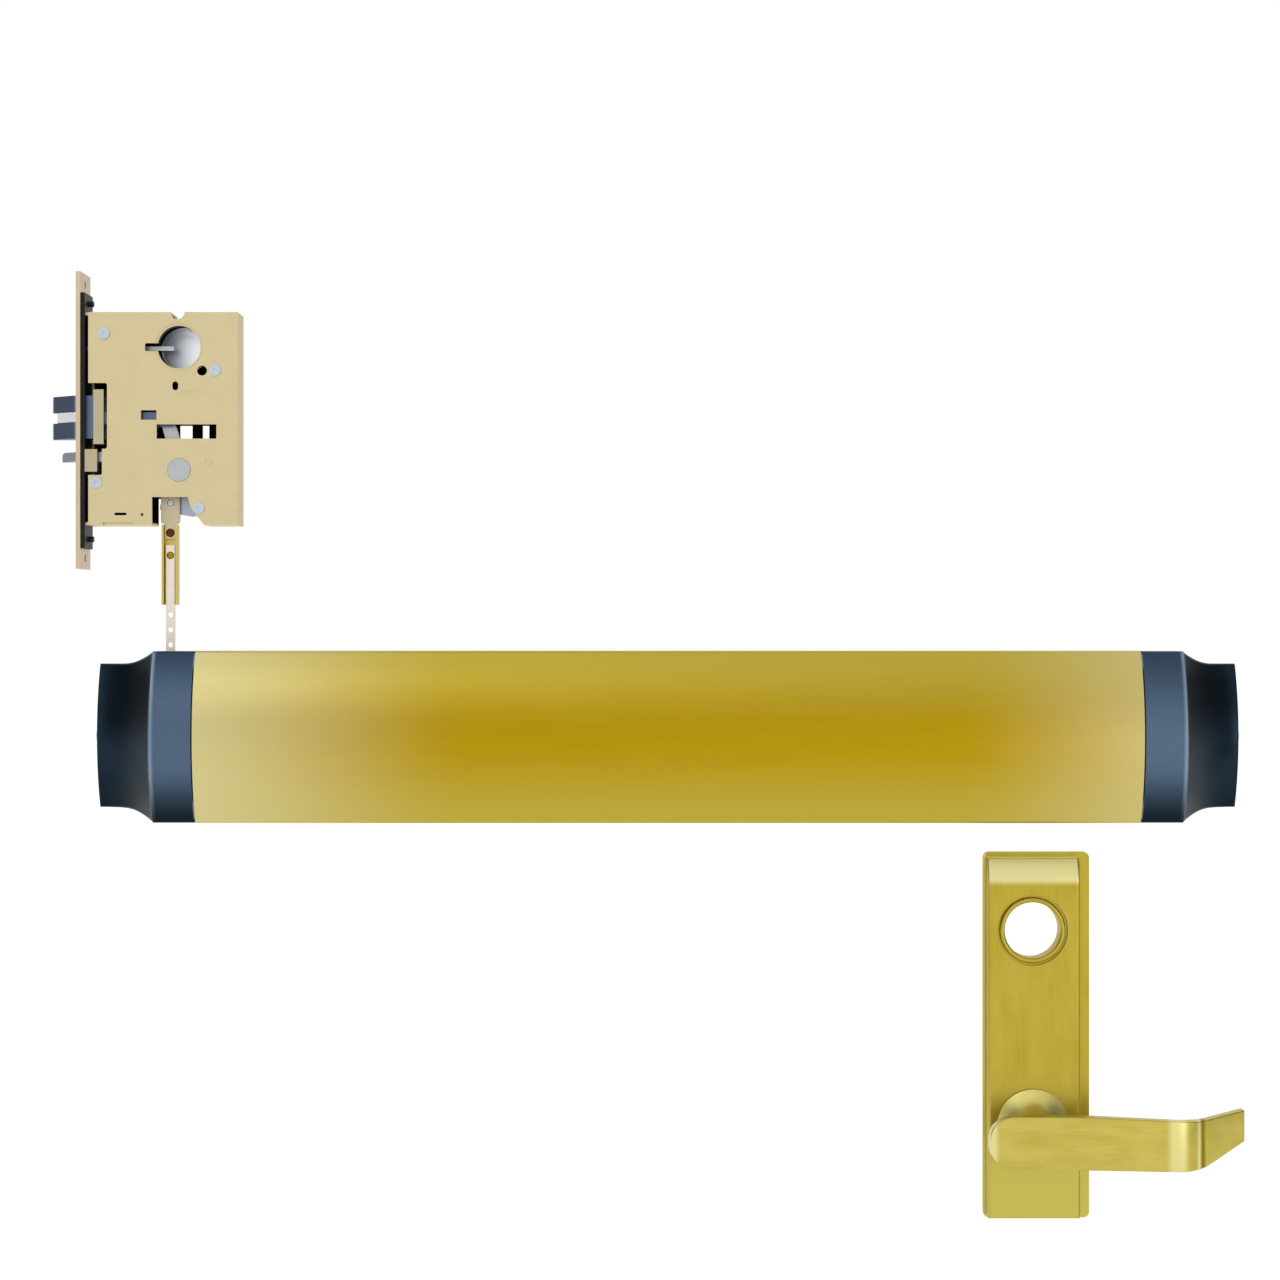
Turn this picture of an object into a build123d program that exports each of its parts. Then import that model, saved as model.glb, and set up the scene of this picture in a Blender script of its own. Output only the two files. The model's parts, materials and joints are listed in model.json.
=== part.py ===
"""Mortise exit device: a push bar, a mortise lock that it draws by a link, and an outside lever trim.

Row frame, millimetres: +X along the bar, +Y into the door, +Z up. The origin is the centre of the
bar's four fixing holes, on the face of the door. The lock sits in the thickness of the door, above the
bar's left end, with its front on the lock edge. The lever trim is laid beside the bar on the same plane.
"""

import os
from math import asin, atan2, cos, degrees, radians, sin, sqrt

from build123d import *

os.makedirs("parts", exist_ok=True)

# ---------------------------------------------------------------- driving dimensions
# Bar
pad_length = 630.0
pad_height = 115.0
pad_projection = 48.0  # crown of the pad in front of the door face
pad_bulge = 14.0  # how far the crown stands in front of the pad's edges
pad_sheet = 2.0
pad_flange = 18.0  # depth of the pad's top and bottom returns
pad_corner = 3.0
push_travel = 12.0
cap_gap = 1.0
cap_band = 27.5
cap_flare = 41.5
cap_wall = 2.5
cap_end_height = 97.5
cap_end_projection = 14.0
cap_end_bulge = 11.0
cap_screw_y = -6.2
# Housing let into the door
door_thickness = 44.5
housing_depth = 36.0
housing_height = 88.0
housing_sheet = 2.0
housing_margin = 15.0  # the housing stops this far short of the caps' ends
lip_height = 91.0
lip_reach = 10.0  # the lip runs this far past the housing's ends
fixing_hole_r = 2.6
fixing_spacing_z = 60.0
# Pad cranks
crank_x = 200.0
crank_pivot_y = 8.0
push_arm = 30.0
pull_arm = 18.0
crank_plate = 8.0
crank_hub_r = 7.0
crank_hub_height = 24.0
pivot_pin_r = 3.0
arm_pin_r = 2.5
# Return springs
post_x = 120.0
post_z = -18.0
spring_r = 7.0
spring_wire_r = 0.9
stud_rivet_r = 2.5
# Tie rod and lift crank
rod_width = 9.5
rod_thickness = 3.0
rod_low_z = 5.0
lift_up_arm = 20.0
lift_side_arm = 22.0
lift_plate = 4.0
# Link
link_x = -342.0
strip_width = 6.0
strip_thickness = 3.0
channel_width = 11.0
channel_length = 55.0
channel_sheet = 1.5
channel_depth = 7.5
strip_hole_r = 1.8
strip_hole_pitch = 10.3
# Mortise lock
backset = 69.85
lock_axis_x = -334.0
front_height = 203.2
front_width = 32.0
front_plate = 3.0
inner_plate = 2.4
lock_mid_z = 215.0
case_depth = 104.6  # from the back of the inner front to the case's rear wall
case_thickness = 25.4
case_sheet = 2.0
case_top_z = 289.0
case_bottom_z = 143.3
cylinder_r = 14.7
cylinder_z = 265.0
hub_z = 181.0
latch_z = 217.6
latch_height = 29.4
latch_thickness = 16.0
latch_projection = 20.3
guard_z = 190.4
guard_height = 6.5
guard_projection = 13.2
guard_thickness = 12.0
guard_travel = 12.0
# Lever trim
trim_x = 250.0
trim_top_z = -79.0
trim_width = 72.0
trim_height = 248.0
trim_base = 4.0
trim_depth = 15.0
trim_wall = 3.0
trim_axis_x = 246.0
trim_cylinder_z = -131.0
trim_cylinder_r = 18.8
trim_lever_z = -267.5
trim_spindle_z = -262.0
trim_projection = 50.0
lever_swing = 45.0
spindle_size = 8.0
# Clearances
running = 0.1  # radial, round a pin
slot_play = 0.2  # each side, in a slot
slide_play = 0.25  # each side, round a sliding piece

# ---------------------------------------------------------------- worked out from them
half_pad = pad_length / 2
cap_start = half_pad + cap_gap
flare_start = cap_start + cap_band
bar_end = flare_start + cap_flare
pad_edge_y = -pad_projection + pad_bulge
pad_back_y = pad_edge_y + pad_flange
housing_half = bar_end - housing_margin
lip_half = housing_half + lip_reach
fixing_x = housing_half + lip_reach / 2
floor_y = housing_depth - housing_sheet  # inside face of the housing's back wall

# Every crank swings equally to each side of square, so that each stage keeps one ratio.
push_half = degrees(asin(push_travel / 2 / push_arm))
rod_travel = push_travel * pull_arm / push_arm
lift_half = degrees(asin(rod_travel / 2 / lift_up_arm))
link_travel = rod_travel * lift_side_arm / lift_up_arm
lift_pivot_x = link_x + lift_side_arm
rod_pin_y = crank_pivot_y + pull_arm
lift_pivot_z = rod_low_z + rod_thickness / 2 - lift_up_arm
strip_far_y = door_thickness / 2 + strip_thickness / 2
strip_near_y = strip_far_y - strip_thickness

lever_pivot_x = -320.5
lever_pivot_z = 155.0
lever_arm = lever_pivot_x - link_x
lever_half = degrees(asin(link_travel / 2 / lever_arm))
drive_span = sqrt((lock_axis_x - lever_pivot_x) ** 2 + (hub_z - lever_pivot_z) ** 2)
drive_lean = degrees(atan2(lock_axis_x - lever_pivot_x, hub_z - lever_pivot_z))
drive_arm = 17.8
retract_half = degrees(
    atan2(
        drive_arm * sin(radians(lever_half)),
        drive_span - drive_arm * cos(radians(lever_half)),
    )
)
retract_arm = latch_z - hub_z
latch_travel = 2 * retract_arm * sin(radians(retract_half))

front_outer_x = lock_axis_x - backset
inner_x = front_outer_x + front_plate
case_front_x = inner_x + inner_plate
case_rear_x = case_front_x + case_depth
case_near_y = (door_thickness - case_thickness) / 2
case_far_y = case_near_y + case_thickness
cover_y = case_near_y + case_sheet  # inside face of the cover
back_y = case_far_y - case_sheet  # inside face of the case's back
lever_near_y = strip_far_y + 0.5
lever_far_y = lever_near_y + 3.0
lock_mid_y = door_thickness / 2


def door_plane(y):
    """A plane at depth y. A sketch on it has X and Z, and an extrusion comes towards the room."""
    return Plane.XZ.offset(-y)


def side_plane(x):
    """A plane across the bar at x. A sketch on it has Y and Z, and an extrusion goes along +X."""
    return Plane.YZ.offset(x)


def level_plane(z):
    """A horizontal plane at height z."""
    return Plane.XY.offset(z)


def arm_shape(start, end, width):
    """A round-ended arm between two centres, added to the sketch in hand."""
    middle = ((start[0] + end[0]) / 2, (start[1] + end[1]) / 2)
    SlotCenterPoint(center=middle, point=end, height=width)


def keep(part, name):
    """Labels a finished piece and writes its STEP file."""
    part.label = name
    export_step(part, f"parts/{name}.step")
    return part


def about_y(part, x, z, angle):
    """The part turned about a line along +Y. A positive angle turns +Z towards +X."""
    return part.rotate(Axis((x, 0, z), (0, 1, 0)), angle)


def about_z(part, x, y, angle):
    """The part turned about a line along +Z. A positive angle turns +X towards +Y."""
    return part.rotate(Axis((x, y, 0), (0, 0, 1)), angle)


def y_rod(x, z, near, far, r):
    """A cylinder along Y, added to the part in hand."""
    with Locations((x, (near + far) / 2, z)):
        Cylinder(r, far - near, rotation=(90, 0, 0))


def z_rod(x, y, low, high, r):
    """A cylinder along Z, added to the part in hand."""
    with Locations((x, y, (low + high) / 2)):
        Cylinder(r, high - low)


def x_rod(y, z, start, end, r, mode=Mode.ADD):
    """A cylinder along X, added to the part in hand or cut from it."""
    with Locations(((start + end) / 2, y, z)):
        Cylinder(r, end - start, rotation=(0, 90, 0), mode=mode)


def coil(seat, radius, wire_r, length, turns):
    """A compression spring that starts on a plane and winds along its normal."""
    with BuildPart() as spring:
        with BuildLine():
            line = Helix(pitch=(length - 2 * wire_r) / turns, height=length - 2 * wire_r, radius=radius)
        with BuildSketch(Plane(origin=line @ 0, z_dir=line % 0)):
            Circle(wire_r)
        sweep(path=line, is_frenet=True)
    return seat.location * spring.part


# ---------------------------------------------------------------- housing let into the door
with BuildPart() as housing:
    with BuildSketch(door_plane(housing_depth)):
        Rectangle(2 * housing_half, housing_height)
    extrude(amount=housing_depth)
    with BuildSketch(door_plane(0)):
        RectangleRounded(2 * lip_half, lip_height, 3)
    extrude(amount=housing_sheet)
    with BuildSketch(door_plane(floor_y)):
        Rectangle(2 * (housing_half - housing_sheet), housing_height - 2 * housing_sheet)
    extrude(amount=housing_depth, mode=Mode.SUBTRACT)
    with BuildSketch(door_plane(0)):
        with GridLocations(2 * fixing_x, fixing_spacing_z, 2, 2):
            Circle(fixing_hole_r)
    extrude(amount=housing_sheet, mode=Mode.SUBTRACT)
    # opening in the top wall for the link strip
    with BuildSketch(level_plane(housing_height / 2 - 2 * housing_sheet)):
        with Locations((link_x, lock_mid_y)):
            Rectangle(strip_width + 8, strip_thickness + 8)
    extrude(amount=3 * housing_sheet, mode=Mode.SUBTRACT)
    # holes in the back wall for the rivet ends of the studs and posts
    with BuildSketch(door_plane(housing_depth)):
        with Locations((lift_pivot_x, lift_pivot_z), (-post_x, post_z), (post_x, post_z)):
            Circle(stud_rivet_r)
    extrude(amount=housing_sheet, mode=Mode.SUBTRACT)
keep(housing.part, "housing")


# ---------------------------------------------------------------- push pad and its carrier
def bow_outline(front_y, half_height, bulge, back, corner):
    """A closed D section in the sketch in hand: a bowed front with rounded corners, and straight sides."""
    edge_y = front_y + bulge
    with BuildLine() as outline:
        Polyline((edge_y, -half_height), (back, -half_height), (back, half_height), (edge_y, half_height))
        ThreePointArc((edge_y, half_height), (front_y, 0), (edge_y, -half_height))
    face = make_face(outline.edges())
    fillet(face.vertices().filter_by_position(Axis.X, edge_y - 0.01, edge_y + 0.01), corner)


with BuildPart() as pad:
    with BuildSketch(side_plane(-half_pad)):
        bow_outline(-pad_projection, pad_height / 2, pad_bulge, pad_back_y, pad_corner)
    extrude(amount=pad_length)
    with BuildSketch(side_plane(-half_pad)):
        bow_outline(
            -pad_projection + pad_sheet,
            pad_height / 2 - pad_sheet,
            pad_bulge,
            pad_back_y + 1,
            pad_corner - pad_sheet,
        )
    extrude(amount=pad_length, mode=Mode.SUBTRACT)
    screw_x = [-270, -90, 90, 270]
    screw_y = pad_back_y - 6
    with BuildSketch(level_plane(-pad_height)):
        with Locations(*[(x, screw_y) for x in screw_x]):
            Circle(2.1)
    extrude(amount=2 * pad_height, mode=Mode.SUBTRACT)
    for side in (-1, 1):
        with BuildSketch(level_plane(side * (pad_height / 2 - 1.4))):
            with Locations(*[(x, screw_y) for x in screw_x]):
                Circle(3.65)
        extrude(amount=side * 2, mode=Mode.SUBTRACT)
keep(pad.part, "push_pad")

carrier_half = pad_height / 2 - pad_sheet
carrier_web_y = pad_back_y - 12
carrier_sheet = 2.0
carrier_length = pad_length - 16
with BuildPart() as carrier:
    with BuildSketch(side_plane(-carrier_length / 2)):
        with Locations(((carrier_web_y + pad_back_y) / 2, 0)):
            Rectangle(pad_back_y - carrier_web_y, 2 * carrier_half)
        with Locations(((carrier_web_y + pad_back_y) / 2 + carrier_sheet, 0)):
            Rectangle(
                pad_back_y - carrier_web_y, 2 * (carrier_half - carrier_sheet), mode=Mode.SUBTRACT
            )
    extrude(amount=carrier_length)
    with BuildSketch(level_plane(-pad_height)):
        with Locations(*[(x, screw_y) for x in screw_x]):
            Circle(2.05)
    extrude(amount=2 * pad_height, mode=Mode.SUBTRACT)
carrier_back_y = carrier_web_y + carrier_sheet
keep(carrier.part, "pad_carrier")

with BuildPart() as pad_screws:
    for side in (-1, 1):
        head_plane = level_plane(side * (pad_height / 2 - 1.4))
        with BuildSketch(head_plane):
            with Locations(*[(x, screw_y) for x in screw_x]):
                Circle(3.6)
        extrude(amount=side * 1.3)
        with BuildSketch(head_plane):
            with Locations(*[(x, screw_y) for x in screw_x]):
                Circle(2.0)
        extrude(amount=-side * 7)
keep(pad_screws.part, "pad_screws")


# ---------------------------------------------------------------- pad cranks
def push_pin_place():
    """Where the push pin is at rest, from the crank's pivot."""
    return push_arm * cos(radians(push_half)), -push_arm * sin(radians(push_half))


push_pin_dx, push_pin_dy = push_pin_place()
lug_inner_z = crank_plate / 2 + 4.5
lug_sheet = 2.5
ear_inner_z = crank_hub_height / 2 + 0.4
ear_sheet = 2.5
lug_slot_x = push_arm * (1 + cos(radians(push_half))) / 2


def crank(x):
    """A bell crank: its long arm carries the push pin, and its short arm the tie rod's pin."""
    push_tip = (x + push_arm, crank_pivot_y)
    pull_tip = (x, crank_pivot_y + pull_arm)
    with BuildPart() as body:
        with BuildSketch(level_plane(-crank_plate / 2)):
            arm_shape((x, crank_pivot_y), push_tip, 11)
            arm_shape((x, crank_pivot_y), pull_tip, 9.5)
        extrude(amount=crank_plate)
        z_rod(x, crank_pivot_y, -crank_hub_height / 2, crank_hub_height / 2, crank_hub_r)
        with BuildSketch(level_plane(-crank_hub_height / 2)):
            with Locations((x, crank_pivot_y)):
                Circle(pivot_pin_r + running)
        extrude(amount=crank_hub_height, mode=Mode.SUBTRACT)
        with BuildSketch(level_plane(-crank_hub_height / 2)):
            with Locations(push_tip, pull_tip):
                Circle(arm_pin_r)
        extrude(amount=crank_hub_height, mode=Mode.SUBTRACT)
    return about_z(body.part, x, crank_pivot_y, -push_half)


def crank_pins(x):
    """The push pin and the pull pin, pressed into a crank."""
    pin_reach = lug_inner_z + lug_sheet + 1
    with BuildPart() as pins:
        z_rod(x + push_arm, crank_pivot_y, -pin_reach, pin_reach, arm_pin_r)
        z_rod(x, rod_pin_y, -crank_plate / 2 - 1, rod_low_z + rod_thickness + 1.5, arm_pin_r)
    return about_z(pins.part, x, crank_pivot_y, -push_half)


def crank_bracket(x):
    """A folded bracket on the housing's back wall, with an ear above and below the crank's hub."""
    ear_front_y = crank_pivot_y - 7
    outer_z = ear_inner_z + ear_sheet
    with BuildPart() as bracket:
        with BuildSketch(side_plane(x - 9)):
            with Locations(((ear_front_y + floor_y) / 2, 0)):
                Rectangle(floor_y - ear_front_y, 2 * outer_z)
            with Locations(((ear_front_y + floor_y) / 2 - ear_sheet, 0)):
                Rectangle(floor_y - ear_front_y, 2 * ear_inner_z, mode=Mode.SUBTRACT)
        extrude(amount=18)
        with BuildSketch(level_plane(-outer_z)):
            with Locations((x, crank_pivot_y)):
                Circle(pivot_pin_r)
        extrude(amount=2 * outer_z, mode=Mode.SUBTRACT)
    return bracket.part


def pad_lugs(x):
    """Two slotted lugs and their foot, on the back of the carrier, that the push pin works in."""
    tip_y = crank_pivot_y + push_pin_dy
    with BuildPart() as lugs:
        with BuildSketch(level_plane(-lug_inner_z - lug_sheet)):
            with Locations((x + lug_slot_x, (carrier_back_y + tip_y) / 2)):
                Rectangle(15, tip_y - carrier_back_y)
            with Locations((x + lug_slot_x, tip_y)):
                Circle(7.5)
                SlotOverall(
                    2 * (arm_pin_r + slot_play) + push_arm - push_arm * cos(radians(push_half)),
                    2 * arm_pin_r + 2 * slot_play,
                    mode=Mode.SUBTRACT,
                )
        extrude(amount=2 * (lug_inner_z + lug_sheet))
        with BuildSketch(door_plane(tip_y + 10)):
            with Locations((x + lug_slot_x, 0)):
                Rectangle(20, 2 * lug_inner_z)
        extrude(amount=tip_y + 10 - carrier_back_y - lug_sheet, mode=Mode.SUBTRACT)
        with BuildSketch(door_plane(carrier_back_y + lug_sheet)):
            with Locations((x + lug_slot_x, 0)):
                Rectangle(15, 52)
        extrude(amount=lug_sheet)
    return lugs.part


def rivets_on_carrier(x):
    """The four rivets that hold a pair of lugs to the carrier, as heads on the lugs' foot."""
    with BuildPart() as heads:
        with BuildSketch(door_plane(carrier_back_y + lug_sheet + 1.2)):
            with Locations((x + lug_slot_x, 0)):
                with GridLocations(0.001, 40, 1, 2):
                    Circle(3)
        extrude(amount=1.2)
    return heads.part


for side, x in (("left", -crank_x), ("right", crank_x)):
    keep(crank(x), f"crank_{side}")
    keep(crank_pins(x), f"crank_pins_{side}")

with BuildPart() as brackets:
    add(crank_bracket(-crank_x))
    add(crank_bracket(crank_x))
keep(brackets.part, "crank_brackets")

with BuildPart() as lugs:
    add(pad_lugs(-crank_x))
    add(pad_lugs(crank_x))
keep(lugs.part, "pad_lugs")

with BuildPart() as lug_rivets:
    add(rivets_on_carrier(-crank_x))
    add(rivets_on_carrier(crank_x))
keep(lug_rivets.part, "lug_rivets")

with BuildPart() as pivot_pins:
    for x in (-crank_x, crank_x):
        z_rod(x, crank_pivot_y, -ear_inner_z - ear_sheet, ear_inner_z + ear_sheet + 2, pivot_pin_r)
        z_rod(x, crank_pivot_y, ear_inner_z + ear_sheet, ear_inner_z + ear_sheet + 2, pivot_pin_r + 2)
keep(pivot_pins.part, "crank_pivot_pins")

# ---------------------------------------------------------------- tie rod
rod_left_x = lift_pivot_x + 18
rod_right_x = crank_x + 34
rod_mid_y = rod_pin_y - pull_arm * (1 - cos(radians(push_half))) / 2
pull_pin_dx = pull_arm * sin(radians(push_half))
rod_slot = 2 * (arm_pin_r + slot_play) + pull_arm * (1 - cos(radians(push_half)))
with BuildPart() as rod:
    with BuildSketch(level_plane(rod_low_z)):
        with Locations(((rod_left_x + rod_right_x) / 2, rod_mid_y)):
            Rectangle(rod_right_x - rod_left_x, rod_width)
        with Locations((-crank_x + pull_pin_dx, rod_mid_y), (crank_x + pull_pin_dx, rod_mid_y)):
            SlotOverall(rod_slot, 2 * (arm_pin_r + slot_play), rotation=90, mode=Mode.SUBTRACT)
        with Locations((rod_left_x + 6, rod_mid_y), (rod_left_x + 16, rod_mid_y)):
            Circle(1.5, mode=Mode.SUBTRACT)
    extrude(amount=rod_thickness)
keep(rod.part, "tie_rod")

end_plate = 3.0
lift_far_y = strip_near_y - 0.5  # back face of the lift crank
lift_near_y = lift_far_y - lift_plate
end_near_y = lift_far_y + 0.5
lift_pin_dx = lift_up_arm * sin(radians(lift_half))
rod_end_x = lift_pivot_x + lift_pin_dx
rod_end_slot = 2 * (arm_pin_r + slot_play) + lift_up_arm * (1 - cos(radians(lift_half)))
rod_end_slot_z = lift_pivot_z + lift_up_arm * (1 + cos(radians(lift_half))) / 2
with BuildPart() as rod_end:
    with BuildSketch(door_plane(end_near_y + end_plate)):
        with Locations((rod_end_x, rod_end_slot_z)):
            RectangleRounded(15, 16, 3)
        with Locations(((rod_end_x + rod_left_x - 0.3) / 2, rod_low_z)):
            Rectangle(rod_left_x - 0.3 - rod_end_x, 6)
        with Locations((rod_end_x, rod_end_slot_z)):
            SlotOverall(rod_end_slot, 2 * (arm_pin_r + slot_play), rotation=90, mode=Mode.SUBTRACT)
    extrude(amount=end_plate)
    with BuildSketch(level_plane(rod_low_z - 3)):
        with Locations(((rod_end_x + 7 + rod_left_x + 22) / 2, rod_mid_y)):
            Rectangle(rod_left_x + 15 - rod_end_x, rod_width)
        with Locations((rod_left_x + 6, rod_mid_y), (rod_left_x + 16, rod_mid_y)):
            Circle(1.5, mode=Mode.SUBTRACT)
    extrude(amount=3)
keep(rod_end.part, "tie_rod_end")

with BuildPart() as rod_rivets:
    for x in (rod_left_x + 6, rod_left_x + 16):
        z_rod(x, rod_mid_y, rod_low_z - 3, rod_low_z + rod_thickness + 1.2, 1.5)
        z_rod(x, rod_mid_y, rod_low_z + rod_thickness, rod_low_z + rod_thickness + 1.2, 2.8)
        z_rod(x, rod_mid_y, rod_low_z - 4, rod_low_z - 3, 2.8)
keep(rod_rivets.part, "tie_rod_rivets")

with BuildPart() as guides:
    for x in (-60, 60):
        with BuildSketch(side_plane(x - 6)):
            with Locations(((rod_mid_y + floor_y) / 2 - 5, rod_low_z + rod_thickness / 2)):
                Rectangle(floor_y - rod_mid_y + 10, 16)
            with Locations(((rod_mid_y + floor_y) / 2 - 7, rod_low_z + rod_thickness / 2)):
                Rectangle(
                    floor_y - rod_mid_y + 11.6,
                    rod_thickness + 2 * slide_play,
                    mode=Mode.SUBTRACT,
                )
        extrude(amount=12)
keep(guides.part, "rod_guides")

# ---------------------------------------------------------------- lift crank at the left end
with BuildPart() as lift_body:
    with BuildSketch(door_plane(lift_far_y)):
        arm_shape((lift_pivot_x, lift_pivot_z), (lift_pivot_x, lift_pivot_z + lift_up_arm), 10)
        arm_shape((lift_pivot_x, lift_pivot_z), (link_x, lift_pivot_z), 10)
        with Locations((lift_pivot_x, lift_pivot_z)):
            Circle(8)
            Circle(pivot_pin_r + running, mode=Mode.SUBTRACT)
        with Locations((lift_pivot_x, lift_pivot_z + lift_up_arm)):
            Circle(arm_pin_r, mode=Mode.SUBTRACT)
        with Locations((link_x, lift_pivot_z)):
            Circle(2.0, mode=Mode.SUBTRACT)
    extrude(amount=lift_plate)
# At rest the tie rod stands to the right and the link is up.
keep(about_y(lift_body.part, lift_pivot_x, lift_pivot_z, lift_half), "lift_crank")

with BuildPart() as lift_pins_body:
    y_rod(
        lift_pivot_x,
        lift_pivot_z + lift_up_arm,
        lift_near_y - 1,
        end_near_y + end_plate + 1,
        arm_pin_r,
    )
    y_rod(link_x, lift_pivot_z, lift_near_y - 1, strip_far_y + 1.5, 2.0)
keep(about_y(lift_pins_body.part, lift_pivot_x, lift_pivot_z, lift_half), "lift_crank_pins")

# ---------------------------------------------------------------- return springs
with BuildPart() as springs:
    for x in (-post_x, post_x):
        seat = Plane(
            origin=(x, floor_y - spring_wire_r - 0.05, post_z), x_dir=(1, 0, 0), z_dir=(0, -1, 0)
        )
        add(coil(seat, spring_r, spring_wire_r, floor_y - carrier_back_y - 0.1, 7))
keep(springs.part, "return_springs")
# the spring posts and the lift crank's stud, riveted through the housing's back wall
with BuildPart() as studs:
    for x in (-post_x, post_x):
        y_rod(x, post_z, 6, floor_y, 4)
        y_rod(x, post_z, floor_y, housing_depth, stud_rivet_r)
    y_rod(lift_pivot_x, lift_pivot_z, lift_near_y - 3, floor_y, pivot_pin_r)
    y_rod(lift_pivot_x, lift_pivot_z, lift_near_y - 2.5, lift_near_y - 0.3, pivot_pin_r + 2)
    y_rod(lift_pivot_x, lift_pivot_z, lift_far_y + 0.3, floor_y, 5)
    y_rod(lift_pivot_x, lift_pivot_z, floor_y, housing_depth, stud_rivet_r)
keep(studs.part, "housing_studs")


# ---------------------------------------------------------------- end caps
def cap_section(share, inset):
    """(front, half height, bulge) of the cap at a share of the flare, drawn in by inset all round."""
    depth = (1 - share) ** 1.7
    height = max(0.0, 1 - share / 0.62) ** 2
    front = -cap_end_projection - (pad_projection - 0.5 - cap_end_projection) * depth
    half = cap_end_height / 2 + (pad_height / 2 - 0.25 - cap_end_height / 2) * height
    bulge = cap_end_bulge + (pad_bulge - cap_end_bulge) * (1 - share)
    return front + inset, half - inset, bulge


def end_cap(side):
    """The right cap, or its mirror image. It is open to the door."""
    stations = [0, 0.16, 0.32, 0.48, 0.64, 0.82, 1]
    with BuildPart() as cap:
        with BuildSketch(side_plane(cap_start)):
            front, half, bulge = cap_section(0, 0)
            bow_outline(front, half, bulge, 0, pad_corner)
        extrude(amount=cap_band)
        for share in stations:
            with BuildSketch(side_plane(flare_start + share * cap_flare)):
                front, half, bulge = cap_section(share, 0)
                bow_outline(front, half, bulge, 0, pad_corner)
        loft()
        with BuildSketch(side_plane(cap_start + cap_wall)):
            front, half, bulge = cap_section(0, cap_wall)
            bow_outline(front, half, bulge, 1, 1)
        extrude(amount=cap_band - cap_wall, mode=Mode.SUBTRACT)
        for share in stations:
            with BuildSketch(side_plane(flare_start + share * (cap_flare - cap_wall))):
                front, half, bulge = cap_section(share, cap_wall)
                bow_outline(front, half, bulge, 1, 1)
        loft(mode=Mode.SUBTRACT)
        # room for the housing's lip
        with BuildSketch(door_plane(0)):
            with Locations(((cap_start + lip_half) / 2, 0)):
                Rectangle(lip_half - cap_start + 0.6, lip_height + 0.6)
        extrude(amount=housing_sheet + 0.3, mode=Mode.SUBTRACT)
        # screw hole in the end
        x_rod(cap_screw_y, 0, bar_end - 2 * cap_wall, bar_end + 1, 2.2, mode=Mode.SUBTRACT)
    return cap.part if side > 0 else mirror(cap.part, about=Plane.YZ)


keep(end_cap(1), "end_cap_right")
keep(end_cap(-1), "end_cap_left")

with BuildPart() as brackets:
    bracket_end_x = bar_end - cap_wall - 0.3
    with BuildSketch(Plane.XZ.offset(housing_sheet)):
        with Locations((bracket_end_x - 9, 0)):
            Rectangle(18, 24)
    extrude(amount=2)
    with BuildSketch(side_plane(bracket_end_x - 2)):
        with Locations((-housing_sheet - 4, 0)):
            Rectangle(8, 24)
    extrude(amount=2)
    x_rod(cap_screw_y, 0, bracket_end_x - 3, bracket_end_x + 1, 1.8, mode=Mode.SUBTRACT)
    mirror(about=Plane.YZ)
keep(brackets.part, "cap_brackets")

with BuildPart() as cap_screws:
    x_rod(cap_screw_y, 0, bracket_end_x - 6, bar_end, 1.75)
    x_rod(cap_screw_y, 0, bar_end, bar_end + 1.5, 3.2)
    mirror(about=Plane.YZ)
keep(cap_screws.part, "cap_screws")

# ---------------------------------------------------------------- link from the bar to the lock
# The link is modelled at rest, which is its highest place.
link_rest = link_travel / 2
channel_top_z = 140.0 + link_rest
tab_pin_z = lever_pivot_z + link_rest
tab_rivet_z = channel_top_z - 5.5
strip_rivet_z = channel_top_z - 21
strip_top_z = channel_top_z - 14
strip_pin_z = lift_pivot_z + link_rest
pin_drift = lever_arm * (1 - cos(radians(lever_half)))
foot_drift = lift_side_arm * (1 - cos(radians(lift_half)))

with BuildPart() as strip:
    with BuildSketch(door_plane(strip_far_y)):
        with Locations((link_x, (strip_top_z + strip_pin_z - 6) / 2)):
            Rectangle(strip_width, strip_top_z - strip_pin_z + 6)
        hole_count = int((channel_top_z - channel_length - strip_pin_z - 10) / strip_hole_pitch)
        first_hole_z = channel_top_z - channel_length - 7
        with Locations(*[(link_x, first_hole_z - n * strip_hole_pitch) for n in range(hole_count)]):
            Circle(strip_hole_r, mode=Mode.SUBTRACT)
        with Locations((link_x, strip_rivet_z)):
            Circle(1.6, mode=Mode.SUBTRACT)
    extrude(amount=strip_thickness)
    # the foot widens round the lift crank's pin, which drifts a little sideways
    with BuildSketch(door_plane(strip_far_y)):
        with Locations((link_x + foot_drift / 2, strip_pin_z)):
            RectangleRounded(10, 11, 3)
            SlotOverall(
                4 + 2 * slot_play + foot_drift + 0.1, 4 + 2 * slot_play, mode=Mode.SUBTRACT
            )
    extrude(amount=strip_thickness)
    with BuildSketch(door_plane(strip_far_y)):
        with Locations((link_x + foot_drift / 2, strip_pin_z)):
            SlotOverall(4 + 2 * slot_play + foot_drift + 0.1, 4 + 2 * slot_play)
    extrude(amount=strip_thickness, mode=Mode.SUBTRACT)
keep(strip.part, "link_strip")

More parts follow.
